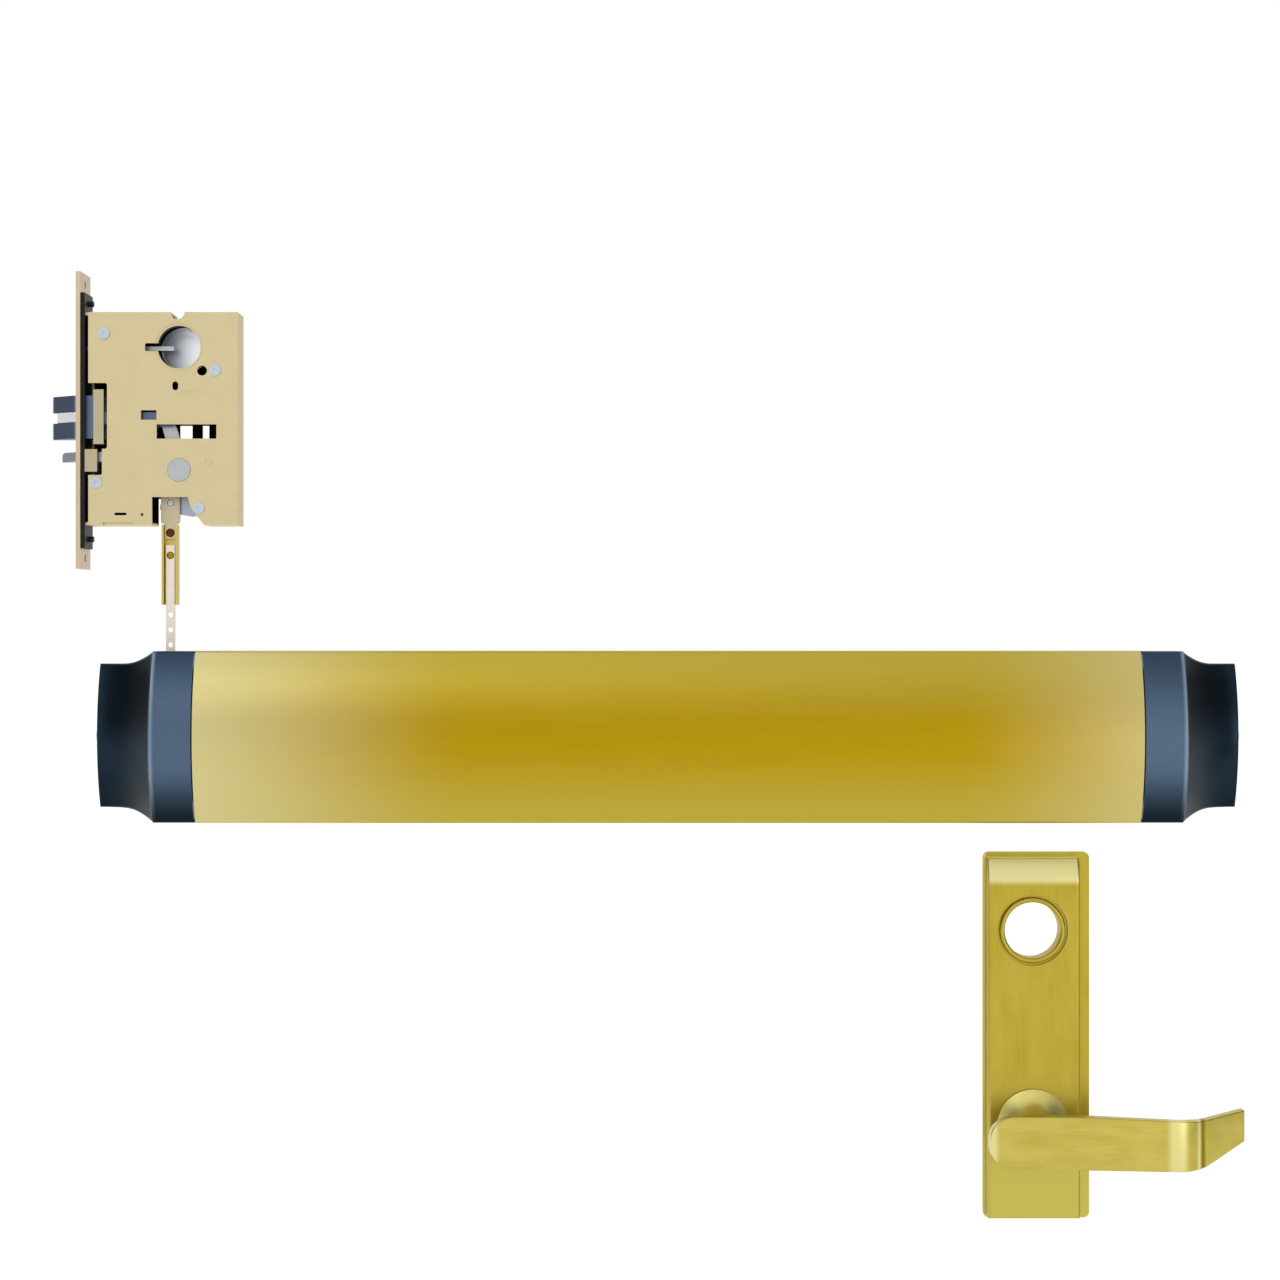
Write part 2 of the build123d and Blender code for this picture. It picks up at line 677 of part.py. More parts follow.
with BuildPart() as channel:
    with BuildSketch(level_plane(channel_top_z - channel_length)):
        with Locations((link_x, strip_far_y + channel_sheet - channel_depth / 2)):
            Rectangle(channel_width, channel_depth)
        with Locations((link_x, strip_far_y - channel_depth / 2)):
            Rectangle(channel_width - 2 * channel_sheet, channel_depth, mode=Mode.SUBTRACT)
    extrude(amount=channel_length)
    with BuildSketch(door_plane(strip_far_y + channel_sheet)):
        with Locations((link_x, tab_rivet_z), (link_x, strip_rivet_z)):
            Circle(1.6)
    extrude(amount=channel_sheet, mode=Mode.SUBTRACT)
keep(channel.part, "link_channel")

with BuildPart() as tab:
    with BuildSketch(door_plane(strip_far_y)):
        with Locations((link_x, (tab_pin_z + tab_rivet_z - 4) / 2)):
            Rectangle(7.6, tab_pin_z - tab_rivet_z + 4)
        with Locations((link_x, (tab_pin_z + 6 + channel_top_z + 0.5) / 2)):
            RectangleRounded(13, tab_pin_z + 6 - channel_top_z - 0.5, 2.5)
        with Locations((link_x + pin_drift / 2, tab_pin_z)):
            SlotOverall(
                4 + 2 * slot_play + pin_drift + 0.1, 4 + 2 * slot_play, mode=Mode.SUBTRACT
            )
        with Locations((link_x, tab_rivet_z)):
            Circle(1.6, mode=Mode.SUBTRACT)
    extrude(amount=strip_thickness)
keep(tab.part, "link_tab")

with BuildPart() as link_rivets:
    for z, head_r in ((tab_rivet_z, 3.0), (strip_rivet_z, 2.6)):
        y_rod(link_x, z, strip_near_y - 1.2, strip_far_y + channel_sheet, 1.6)
        y_rod(link_x, z, strip_near_y - 1.2, strip_near_y, head_r)
        y_rod(link_x, z, strip_far_y + channel_sheet, strip_far_y + channel_sheet + 1, head_r)
keep(link_rivets.part, "link_rivets")

# ---------------------------------------------------------------- mortise lock: fronts and case
latch_slot_y = latch_thickness + 2 * slide_play
latch_slot_z = latch_height + 2 * slide_play
guard_slot_y = guard_thickness + 2 * slide_play
guard_slot_z = guard_height + 2 * slide_play
front_screw_z = 81.0
fixing_screw_z = 94.0


def front_openings():
    """The latch and guard bolt openings of a front, cut from the sketch in hand."""
    with Locations((lock_mid_y, latch_z)):
        Rectangle(latch_slot_y, latch_slot_z, mode=Mode.SUBTRACT)
    with Locations((lock_mid_y, guard_z)):
        Rectangle(guard_slot_y, guard_slot_z, mode=Mode.SUBTRACT)


front_screws_at = [(lock_mid_y, lock_mid_z - front_screw_z), (lock_mid_y, lock_mid_z + front_screw_z)]
with BuildPart() as armor:
    with BuildSketch(side_plane(front_outer_x)):
        with Locations((lock_mid_y, lock_mid_z)):
            RectangleRounded(front_width, front_height, 1)
            with GridLocations(0.001, 2 * fixing_screw_z, 1, 2):
                Circle(fixing_hole_r, mode=Mode.SUBTRACT)
        with Locations(*front_screws_at):
            Circle(3.4, mode=Mode.SUBTRACT)
        front_openings()
    extrude(amount=front_plate)
keep(armor.part, "armor_front")

with BuildPart() as inner:
    with BuildSketch(side_plane(inner_x)):
        with Locations((lock_mid_y, lock_mid_z)):
            Rectangle(case_thickness, 2 * front_screw_z + 13)
        with Locations(*front_screws_at):
            Circle(2.1, mode=Mode.SUBTRACT)
        with Locations((lock_mid_y - 1.5, cylinder_z)):
            Circle(3.4, mode=Mode.SUBTRACT)
        front_openings()
    extrude(amount=inner_plate)
keep(inner.part, "inner_front")

with BuildPart() as front_screws:
    for _, z in front_screws_at:
        x_rod(lock_mid_y, z, front_outer_x, inner_x, 3.2)
        x_rod(lock_mid_y, z, inner_x, case_front_x + 3.5, 2.0)
keep(front_screws.part, "front_screws")

case_mid_x = (case_front_x + case_rear_x) / 2
case_mid_z = (case_top_z + case_bottom_z) / 2
case_height = case_top_z - case_bottom_z
window_x, window_z = (-349.3 + -308.4) / 2, 207.3
window_width, window_height = 40.9, 9.8
mouth_left_x, mouth_right_x, mouth_top_z = -352.5, -328.0, 162.5
notch_r = 4.8
post_places = [(-385.2, 274.3), (-309.3, 249.2), (-390.5, 172.5)]


def mouth_outline():
    """The opening in the bottom of the lock, where the link's tab comes in."""
    with BuildLine() as outline:
        Polyline(
            (mouth_left_x, case_bottom_z - 1),
            (mouth_left_x, mouth_top_z),
            (mouth_right_x, mouth_top_z),
            (mouth_right_x + 2, mouth_top_z - 7.5),
            (mouth_right_x + 12, case_bottom_z - 1),
            close=True,
        )
    make_face(outline.edges())


with BuildPart() as case:
    with BuildSketch(door_plane(case_far_y)):
        with Locations((case_mid_x, case_mid_z)):
            Rectangle(case_depth, case_height)
    extrude(amount=case_far_y - cover_y)
    with BuildSketch(door_plane(back_y)):
        with Locations((case_mid_x - case_sheet / 2, case_mid_z)):
            Rectangle(case_depth - case_sheet, case_height - 2 * case_sheet)
    extrude(amount=case_thickness, mode=Mode.SUBTRACT)
    with BuildSketch(door_plane(case_far_y)):
        with Locations((-333.2, window_z)):
            Rectangle(8.6, window_height + 2)
        with Locations((-319.6, window_z)):
            Rectangle(4.6, window_height + 2)
        with Locations((lock_axis_x - 1, case_top_z)):
            Circle(notch_r)
    extrude(amount=case_thickness, mode=Mode.SUBTRACT)
    with BuildSketch(door_plane(case_far_y)):
        mouth_outline()
    extrude(amount=case_thickness, mode=Mode.SUBTRACT)
    with BuildSketch(door_plane(case_far_y)):
        with Locations((lock_axis_x, hub_z)):
            Circle(3)
        with Locations((lever_pivot_x, lever_pivot_z), *post_places):
            Circle(2)
    extrude(amount=case_sheet, mode=Mode.SUBTRACT)
keep(case.part, "lock_case")

cover_left_x = case_front_x + 2.4
collar_r = cylinder_r + 2.8
collar_y = cover_y + 5.4
latch_notch_x, latch_notch_top_z, latch_notch_low_z = -383.2, 240.5, 195.5
guard_notch_x, guard_notch_low_z = -386.7, 179.6
with BuildPart() as cover:
    with BuildSketch(door_plane(cover_y)):
        with Locations(((cover_left_x + case_rear_x) / 2, case_mid_z)):
            Rectangle(case_rear_x - cover_left_x, case_height)
    extrude(amount=case_sheet)
    with BuildSketch(door_plane(collar_y)):
        with Locations((lock_axis_x, cylinder_z)):
            Circle(collar_r)
    extrude(amount=collar_y - cover_y)
    with BuildSketch(door_plane(collar_y)):
        with Locations((lock_axis_x, cylinder_z)):
            Circle(cylinder_r)
        with Locations((lock_axis_x - 16, cylinder_z)):
            RectangleRounded(14.5, 5.4, 1)
    extrude(amount=collar_y, mode=Mode.SUBTRACT)
    with BuildSketch(door_plane(cover_y)):
        # notches for the latch and guard bolt guides
        with Locations(((cover_left_x - 2 + latch_notch_x) / 2, (latch_notch_top_z + latch_notch_low_z) / 2)):
            RectangleRounded(
                latch_notch_x - cover_left_x + 2, latch_notch_top_z - latch_notch_low_z, 1.5
            )
        with Locations(((cover_left_x - 2 + guard_notch_x) / 2, (latch_notch_low_z + guard_notch_low_z) / 2)):
            RectangleRounded(
                guard_notch_x - cover_left_x + 2, latch_notch_low_z - guard_notch_low_z + 4, 1.5
            )
        with Locations((window_x, window_z)):
            Rectangle(window_width, window_height)
        with Locations((-354.7, 218.6)):
            Rectangle(10.7, 6.5)
        with Locations((lock_axis_x - 1, case_top_z)):
            Circle(notch_r)
        with Locations((lock_axis_x, hub_z)):
            Circle(8.0)
        with Locations((-318.2, 248.9)):
            Circle(3.4)
        with Locations((-336.5, 238.5)):
            SlotOverall(6, 4, rotation=90)
        with Locations((-374, 150.9)):
            SlotOverall(8.4, 1.8)
        with Locations((-359.3, 150.5)):
            Circle(1.0)
        with Locations((-375.5, case_bottom_z)):
            Rectangle(21, 4)
        with Locations((lever_pivot_x, lever_pivot_z), *post_places):
            Circle(1.6)
    extrude(amount=case_sheet, mode=Mode.SUBTRACT)
    with BuildSketch(door_plane(cover_y)):
        mouth_outline()
    extrude(amount=case_sheet, mode=Mode.SUBTRACT)
    # pressed marks
    with BuildSketch(door_plane(case_near_y + 0.4)):
        with Locations((-325.2, 233.6)):
            SlotOverall(15, 3.2)
        with Locations((-313.8, 186.3)):
            Circle(2.6)
            Circle(1.7, mode=Mode.SUBTRACT)
        with Locations((lock_axis_x, cylinder_z)):
            Circle(cylinder_r + 1.6)
            Circle(cylinder_r + 1.1, mode=Mode.SUBTRACT)
    extrude(amount=0.4, mode=Mode.SUBTRACT)
keep(cover.part, "lock_cover")

with BuildPart() as cover_posts:
    for x, z in post_places:
        y_rod(x, z, cover_y, back_y, 3)
        y_rod(x, z, back_y, case_far_y, 2)
    # the lift lever's post has a shoulder behind the lever
    y_rod(lever_pivot_x, lever_pivot_z, cover_y, back_y, 3.5)
    y_rod(lever_pivot_x, lever_pivot_z, lever_far_y + 0.3, back_y, 5)
    y_rod(lever_pivot_x, lever_pivot_z, back_y, case_far_y, 2)
    with BuildSketch(door_plane(cover_y + 7)):
        with Locations(*post_places, (lever_pivot_x, lever_pivot_z)):
            Circle(1.55)
    extrude(amount=7, mode=Mode.SUBTRACT)
keep(cover_posts.part, "cover_posts")

with BuildPart() as cover_screws:
    for x, z in [*post_places, (lever_pivot_x, lever_pivot_z)]:
        y_rod(x, z, case_near_y, cover_y + 6, 1.5)
        with BuildSketch(door_plane(case_near_y)):
            with Locations((x, z)):
                Circle(3.9)
        extrude(amount=1.1)
    with BuildSketch(door_plane(case_near_y - 0.5)):
        with Locations(*post_places, (lever_pivot_x, lever_pivot_z)):
            RegularPolygon(1.5, 6)
    extrude(amount=2, mode=Mode.SUBTRACT)
keep(cover_screws.part, "cover_screws")

# ---------------------------------------------------------------- mortise lock: latch
head_near_y = lock_mid_y - latch_thickness / 2
head_far_y = lock_mid_y + latch_thickness / 2
prong_height = 11.0
tongue_height = latch_height - 2 * prong_height - 0.6
latch_tip_x = front_outer_x - latch_projection
head_rear_x = case_front_x + 5.0
tail_near_y = head_near_y
tail_far_y = tail_near_y + 3.0
retract_pin_x = lock_axis_x - retract_arm * sin(radians(retract_half))
tail_slot_z = hub_z + retract_arm * (1 + cos(radians(retract_half))) / 2
tail_slot = 2 * (arm_pin_r + slot_play) + retract_arm * (1 - cos(radians(retract_half)))
spring_axis_y = lock_mid_y + 3.5
guide_rod_r = 2.2
latch_seat_x = -352.0

with BuildPart() as latch:
    with BuildSketch(level_plane(latch_z - latch_height / 2)):
        with BuildLine():
            # plan of the head: square at the back, bevelled towards the room at the nose
            Polyline(
                (head_rear_x, head_near_y),
                (front_outer_x - 3.0, head_near_y),
                (latch_tip_x + 1.2, head_far_y - 5.0),
                (latch_tip_x, head_far_y - 3.0),
                (latch_tip_x, head_far_y),
                (head_rear_x, head_far_y),
                close=True,
            )
        make_face()
    extrude(amount=latch_height)
    # the gap between the prongs, where the tongue lies
    with BuildSketch(door_plane(head_far_y + 1)):
        with Locations(((latch_tip_x - 1 + front_outer_x + 3) / 2, latch_z)):
            Rectangle(front_outer_x + 3 - latch_tip_x + 1, tongue_height + 0.6)
    extrude(amount=latch_thickness + 2, mode=Mode.SUBTRACT)
    # tail plate with the slot that the retractor's pin works in
    with BuildSketch(door_plane(tail_far_y)):
        with Locations(((head_rear_x + retract_pin_x - 4) / 2, tail_slot_z)):
            Rectangle(retract_pin_x - 4 - head_rear_x, 8)
        with Locations((retract_pin_x, tail_slot_z)):
            RectangleRounded(11, 12, 2)
            SlotOverall(tail_slot, 2 * (arm_pin_r + slot_play), rotation=90, mode=Mode.SUBTRACT)
    extrude(amount=tail_far_y - tail_near_y)
    x_rod(spring_axis_y, latch_z, head_rear_x, latch_seat_x + 4, guide_rod_r)
keep(latch.part, "latch_bolt")

tongue_pivot_x = front_outer_x + 0.5
tongue_pivot_y = head_far_y - 3.5
tongue_pin_r = 1.5
with BuildPart() as tongue:
    with BuildSketch(level_plane(latch_z - tongue_height / 2)):
        with BuildLine():
            Polyline(
                (tongue_pivot_x + 1.8, head_far_y - 0.6),
                (tongue_pivot_x + 1.8, head_near_y + 1.2),
                (front_outer_x - 2.6, head_near_y + 0.3),
                (latch_tip_x + 5.0, head_far_y - 8.2),
                (latch_tip_x + 3.6, head_far_y - 5.5),
                (latch_tip_x + 3.6, head_far_y - 2.6),
                close=True,
            )
        make_face()
        with Locations((tongue_pivot_x, tongue_pivot_y)):
            Circle(tongue_pin_r + running, mode=Mode.SUBTRACT)
    extrude(amount=tongue_height)
keep(tongue.part, "latch_tongue")

with BuildPart() as tongue_pin:
    z_rod(
        tongue_pivot_x,
        tongue_pivot_y,
        latch_z - tongue_height / 2 - 0.3,
        latch_z + tongue_height / 2 + 0.3,
        tongue_pin_r,
    )
keep(tongue_pin.part, "latch_tongue_pin")

guide_start_x, guide_end_x = -393.0, -386.0
with BuildPart() as latch_guide:
    with BuildSketch(side_plane(guide_start_x)):
        with Locations(((cover_y + back_y) / 2, latch_z)):
            Rectangle(back_y - cover_y, latch_height + 8)
        with Locations((lock_mid_y, latch_z)):
            Rectangle(latch_slot_y, latch_slot_z, mode=Mode.SUBTRACT)
    extrude(amount=guide_end_x - guide_start_x)
keep(latch_guide.part, "latch_guide")

latch_spring_wire_r = 0.45
latch_seat_plane = Plane(
    origin=(head_rear_x + latch_spring_wire_r + 0.05, spring_axis_y, latch_z),
    x_dir=(0, 0, 1),
    z_dir=(1, 0, 0),
)
keep(
    coil(latch_seat_plane, 3.3, latch_spring_wire_r, latch_seat_x - head_rear_x - 0.1, 11),
    "latch_spring",
)

# ---------------------------------------------------------------- mortise lock: guard bolt
guard_tip_x = front_outer_x - guard_projection
guard_rear_x = -384.0
guard_rod_r = 1.4
guard_seat_x = -363.5
with BuildPart() as guard:
    with BuildSketch(level_plane(guard_z - guard_height / 2)):
        with BuildLine():
            Polyline(
                (guard_rear_x, lock_mid_y - guard_thickness / 2),
                (front_outer_x - 2, lock_mid_y - guard_thickness / 2),
                (guard_tip_x, lock_mid_y + guard_thickness / 2 - 4),
                (guard_tip_x, lock_mid_y + guard_thickness / 2),
                (guard_rear_x, lock_mid_y + guard_thickness / 2),
                close=True,
            )
        make_face()
    extrude(amount=guard_height)
    nose = guard.edges().filter_by_position(Axis.X, guard_tip_x - 0.01, guard_tip_x + 0.01)
    fillet(nose.sort_by(Axis.Z)[-1:], 2.5)
    x_rod(lock_mid_y, guard_z, guard_rear_x, guard_seat_x + 3, guard_rod_r)
keep(guard.part, "guard_bolt")

guard_guide_end_x = -390.0
with BuildPart() as guard_guide:
    with BuildSketch(side_plane(case_front_x)):
        with Locations(((case_near_y + back_y) / 2, (guard_notch_low_z + latch_notch_low_z) / 2)):
            Rectangle(back_y - case_near_y, latch_notch_low_z - guard_notch_low_z - 0.6)
        with Locations((lock_mid_y, guard_z)):
            Rectangle(guard_slot_y, guard_slot_z, mode=Mode.SUBTRACT)
    extrude(amount=guard_guide_end_x - case_front_x)
keep(guard_guide.part, "guard_guide")

with BuildPart() as seats:
    with BuildSketch(side_plane(latch_seat_x)):
        with Locations(((lock_mid_y + back_y) / 2, latch_z)):
            Rectangle(back_y - lock_mid_y, 13)
        with Locations((spring_axis_y, latch_z)):
            Circle(guide_rod_r + slide_play, mode=Mode.SUBTRACT)
    extrude(amount=1.8)
    with BuildSketch(side_plane(guard_seat_x)):
        with Locations(((lock_mid_y - 5 + back_y) / 2, guard_z)):
            Rectangle(back_y - lock_mid_y + 5, 8)
        with Locations((lock_mid_y, guard_z)):
            Circle(guard_rod_r + slide_play, mode=Mode.SUBTRACT)
    extrude(amount=1.5)
keep(seats.part, "bolt_spring_seats")

guard_spring_wire_r = 0.3
guard_seat_plane = Plane(
    origin=(guard_rear_x + guard_spring_wire_r + 0.05, lock_mid_y, guard_z),
    x_dir=(0, 0, 1),
    z_dir=(1, 0, 0),
)
keep(
    coil(guard_seat_plane, 2.3, guard_spring_wire_r, guard_seat_x - guard_rear_x - 0.1, 9),
    "guard_spring",
)

# ---------------------------------------------------------------- mortise lock: levers
retractor_near_y = tail_far_y + 0.5
retractor_far_y = retractor_near_y + 4.0
drive_pin_r = 2.0
drive_r = drive_span - drive_arm  # the drive pin from the hub, when the levers are square
hub_post_r = 4.0
fork_end = drive_r + 5.5
lean = radians(drive_lean)
fork_dir = (-sin(lean), -cos(lean))


def from_hub(distance):
    """A point on the line from the hub towards the lift lever's pivot."""
    return (lock_axis_x + fork_dir[0] * distance, hub_z + fork_dir[1] * distance)


with BuildPart() as retractor_body:
    with BuildSketch(door_plane(retractor_far_y)):
        arm_shape((lock_axis_x, hub_z), (lock_axis_x, hub_z + retract_arm), 9)
        arm_shape((lock_axis_x, hub_z), from_hub(fork_end - 5), 10)
        with Locations((lock_axis_x, hub_z)):
            Circle(7.5)
            Circle(hub_post_r + running, mode=Mode.SUBTRACT)
        with Locations((lock_axis_x, hub_z + retract_arm)):
            Circle(arm_pin_r, mode=Mode.SUBTRACT)
    extrude(amount=retractor_far_y - retractor_near_y)
    # open fork for the lift lever's pin
    with BuildSketch(door_plane(retractor_far_y)):
        with Locations(Location((*from_hub(drive_r + 4.5), 0), (0, 0, -drive_lean))):
            Rectangle(2 * (drive_pin_r + slot_play), 16)
    extrude(amount=retractor_far_y - retractor_near_y, mode=Mode.SUBTRACT)
keep(about_y(retractor_body.part, lock_axis_x, hub_z, -retract_half), "retractor")

with BuildPart() as retractor_pin_body:
    y_rod(lock_axis_x, hub_z + retract_arm, tail_near_y - 0.8, retractor_far_y, arm_pin_r)
keep(about_y(retractor_pin_body.part, lock_axis_x, hub_z, -retract_half), "retractor_pin")

with BuildPart() as hub_post:
    y_rod(lock_axis_x, hub_z, case_near_y - 0.3, cover_y + 1.0, 7.8)
    y_rod(lock_axis_x, hub_z, cover_y + 1.0, back_y, hub_post_r)
    y_rod(lock_axis_x, hub_z, retractor_far_y + 0.3, back_y, 6)
    y_rod(lock_axis_x, hub_z, back_y, case_far_y, 3)
keep(hub_post.part, "hub_post")

with BuildPart() as lift_lever_body:
    drive_point = from_hub(drive_r)
    with BuildSketch(door_plane(lever_far_y)):
        arm_shape((lever_pivot_x, lever_pivot_z), (link_x, lever_pivot_z), 9)
        arm_shape((lever_pivot_x, lever_pivot_z), drive_point, 8)
        with Locations((link_x + 5, lever_pivot_z + 1)):
            RectangleRounded(25, 15, 2)
        with Locations((lever_pivot_x, lever_pivot_z)):
            Circle(6.5)
            Circle(3.5 + running, mode=Mode.SUBTRACT)
        with Locations((link_x, lever_pivot_z)):
            Circle(2.0, mode=Mode.SUBTRACT)
        with Locations(drive_point):
            Circle(drive_pin_r, mode=Mode.SUBTRACT)
    extrude(amount=lever_far_y - lever_near_y)
keep(about_y(lift_lever_body.part, lever_pivot_x, lever_pivot_z, lever_half), "lift_lever")

with BuildPart() as lift_lever_pins_body:
    y_rod(link_x, lever_pivot_z, strip_near_y - 0.8, lever_far_y, 2.0)
    y_rod(*drive_point, retractor_near_y - 0.4, lever_far_y, drive_pin_r)
keep(about_y(lift_lever_pins_body.part, lever_pivot_x, lever_pivot_z, lever_half), "lift_lever_pins")

# ---------------------------------------------------------------- mortise lock: cylinder clamp
clamp_near_y = collar_y + 1.2
clamp_end_x = lock_axis_x - 5
clamp_start_x = -362.0
with BuildPart() as clamp:
    with BuildSketch(door_plane(clamp_near_y + 4.5)):
        with Locations(((clamp_start_x + clamp_end_x) / 2, cylinder_z)):
            Rectangle(clamp_end_x - clamp_start_x, 3)
    extrude(amount=4.5)
    x_rod(clamp_near_y + 2.25, cylinder_z, case_front_x, clamp_start_x, 2.0)
    x_rod(lock_mid_y - 1.5, cylinder_z, inner_x, case_front_x, 3.2)
keep(clamp.part, "cylinder_clamp")

with BuildPart() as cup:
    with BuildSketch(door_plane(back_y)):
        with Locations((lock_axis_x, cylinder_z)):
            Circle(16)
    extrude(amount=1.5)
    with BuildSketch(door_plane(back_y)):
        with Locations((lock_axis_x, cylinder_z)):
            Circle(14.6)
            Circle(13.4, mode=Mode.SUBTRACT)
    extrude(amount=back_y - clamp_near_y - 5.5)
keep(cup.part, "cylinder_cup")

# ---------------------------------------------------------------- lever trim: plate
trim_bottom_z = trim_top_z - trim_height
body_left_x = trim_x - trim_width / 2 + 2.0
body_right_x = trim_x + trim_width / 2 - 8.0
body_top_z = trim_top_z - 4.0
body_bottom_z = trim_bottom_z + 1.5
roll_length = 17.0
roll_drop = 4.5
bush_r = 15.0
journal_r = 12.0
trim_post_z = [trim_top_z - 18, trim_bottom_z + 22]

with BuildPart() as plate:
    with BuildSketch(door_plane(0)):
        with Locations((trim_x, (trim_top_z + trim_bottom_z) / 2)):
            RectangleRounded(trim_width, trim_height, 4)
    extrude(amount=trim_base)
    with BuildSketch(side_plane(body_left_x)):
        with BuildLine():
            Polyline(
                (-trim_depth + roll_drop, body_top_z),
                (-trim_base, body_top_z),
                (-trim_base, body_bottom_z),
                (-trim_depth, body_bottom_z),
                (-trim_depth, body_top_z - roll_length),
            )
            TangentArc(
                (-trim_depth, body_top_z - roll_length),
                (-trim_depth + roll_drop, body_top_z),
                tangent=(0, 1),
            )
        make_face()
    extrude(amount=body_right_x - body_left_x)
    front_edges = plate.edges().filter_by_position(Axis.Y, -trim_depth - 0.01, -trim_depth + roll_drop)
    sides = front_edges.filter_by(lambda e: abs(e.center().X - trim_x) > trim_width / 4)
    fillet(sides + front_edges.sort_by(Axis.Z)[0:1], 1.8)
    with BuildSketch(door_plane(0)):
        with Locations(
            ((body_left_x + body_right_x) / 2, (body_top_z - roll_length + body_bottom_z) / 2)
        ):
            RectangleRounded(
                body_right_x - body_left_x - 2 * trim_wall,
                body_top_z - roll_length - body_bottom_z - 2 * trim_wall,
                2,
            )
    extrude(amount=trim_depth - trim_wall, mode=Mode.SUBTRACT)
    # bosses, tapped from behind for the through bolts
    for z in trim_post_z:
        y_rod(trim_axis_x, z, -trim_depth + trim_wall, 0, 5)
    with BuildSketch(door_plane(0)):
        with Locations(*[(trim_axis_x, z) for z in trim_post_z]):
            Circle(2.5)
    extrude(amount=10, mode=Mode.SUBTRACT)
    with BuildSketch(door_plane(0)):
        with Locations((trim_axis_x, trim_cylinder_z)):
            Circle(trim_cylinder_r + 2.4)
        with Locations((trim_axis_x, trim_spindle_z)):
            Circle(bush_r)
    extrude(amount=trim_depth + 1, mode=Mode.SUBTRACT)
    with BuildSketch(door_plane(-trim_depth + 2.2)):
        with Locations((trim_axis_x, trim_cylinder_z)):
            Circle(trim_cylinder_r + 5.0)
    extrude(amount=5, mode=Mode.SUBTRACT)
keep(plate.part, "trim_plate")

with BuildPart() as collar:
    with BuildSketch(door_plane(-1)):
        with Locations((trim_axis_x, trim_cylinder_z)):
            Circle(trim_cylinder_r + 2.3)
    extrude(amount=trim_depth - 1)
    with BuildSketch(door_plane(-trim_depth + 2.2)):
        with Locations((trim_axis_x, trim_cylinder_z)):
            Circle(trim_cylinder_r + 4.6)
    extrude(amount=1.8)
    with BuildSketch(door_plane(0)):
        with Locations((trim_axis_x, trim_cylinder_z)):
            Circle(trim_cylinder_r)
    extrude(amount=trim_depth + 2, mode=Mode.SUBTRACT)
keep(collar.part, "trim_collar")

with BuildPart() as bush:
    y_rod(trim_axis_x, trim_spindle_z, -trim_depth - 0.4, -6, bush_r)
    y_rod(trim_axis_x, trim_spindle_z, -trim_depth + trim_wall, -trim_depth + trim_wall + 2, bush_r + 3)
    with BuildSketch(door_plane(0)):
        with Locations((trim_axis_x, trim_spindle_z)):
            Circle(journal_r + running)
    extrude(amount=trim_depth + 2, mode=Mode.SUBTRACT)
keep(bush.part, "trim_bush")

# ---------------------------------------------------------------- lever trim: lever and its drive
blade = 9.0
blade_near_y = -trim_projection
blade_far_y = blade_near_y + blade
heel_x = trim_axis_x - 16.3
heel_r = 17.3
bend_x = 350.0
tip_x = 387.0
tip_drop = 22.0  # how far the tip turns back towards the door
neck_r = 11.5
neck_base_r = 24.0
neck_far_y = -trim_depth - 1.0
with BuildPart() as lever:
    # front outline, then the plan of the bent blade
    with BuildSketch(door_plane(0)):
        with BuildLine():
            l1 = Line((heel_x, trim_lever_z + heel_r), (bend_x, trim_lever_z + 13.7))
            l2 = Line(l1 @ 1, (tip_x, trim_lever_z + 17.0))
            l3 = Line(l2 @ 1, (tip_x, trim_lever_z - 3.9))
            l4 = Line(l3 @ 1, (bend_x + 12, trim_lever_z - 15.6))
            l5 = Line(l4 @ 1, (bend_x + 4, trim_lever_z - 18.5))
            l6 = Line(l5 @ 1, (bend_x - 8, trim_lever_z - 19.5))
            l7 = Line(l6 @ 1, (heel_x, trim_lever_z - heel_r))
            ThreePointArc(l7 @ 1, (heel_x - heel_r, trim_lever_z), l1 @ 0)
        make_face()
    extrude(amount=trim_projection + 5)
    with BuildSketch(level_plane(trim_lever_z - 30)):
        with BuildLine():
            Polyline(
                (heel_x - 30, blade_near_y),
                (bend_x, blade_near_y),
                (tip_x + 2, blade_near_y + tip_drop),
                (tip_x + 2, blade_near_y + tip_drop + blade),
                (bend_x - 3, blade_far_y),
                (heel_x - 30, blade_far_y),
                close=True,
            )
        make_face()
    extrude(amount=60, mode=Mode.INTERSECT)
    fillet(lever.edges().filter_by(Axis.Z).group_by(Axis.Y)[0], 6)
    # flared neck, turned about the spindle
    with BuildSketch(side_plane(trim_axis_x)):
        with BuildLine():
            n1 = Line((blade_far_y, trim_spindle_z), (blade_far_y, trim_spindle_z + neck_r))
            n2 = ThreePointArc(
                n1 @ 1,
                (neck_far_y - 7.5, trim_spindle_z + neck_r + 3.5),
                (neck_far_y, trim_spindle_z + neck_base_r),
            )
            Polyline(n2 @ 1, (neck_far_y, trim_spindle_z), n1 @ 0)
        make_face()
    revolve(axis=Axis((trim_axis_x, 0, trim_spindle_z), (0, 1, 0)))
    y_rod(trim_axis_x, trim_spindle_z, neck_far_y, -4, journal_r)
    with BuildSketch(door_plane(-4.8)):
        with Locations((trim_axis_x, trim_spindle_z)):
            Circle(journal_r + 1)
            Circle(journal_r - 1, mode=Mode.SUBTRACT)
    extrude(amount=1.0, mode=Mode.SUBTRACT)
    with BuildSketch(door_plane(0)):
        with Locations((trim_axis_x, trim_spindle_z)):
            Rectangle(spindle_size + 0.1, spindle_size + 0.1)
    extrude(amount=26, mode=Mode.SUBTRACT)
keep(lever.part, "trim_lever")

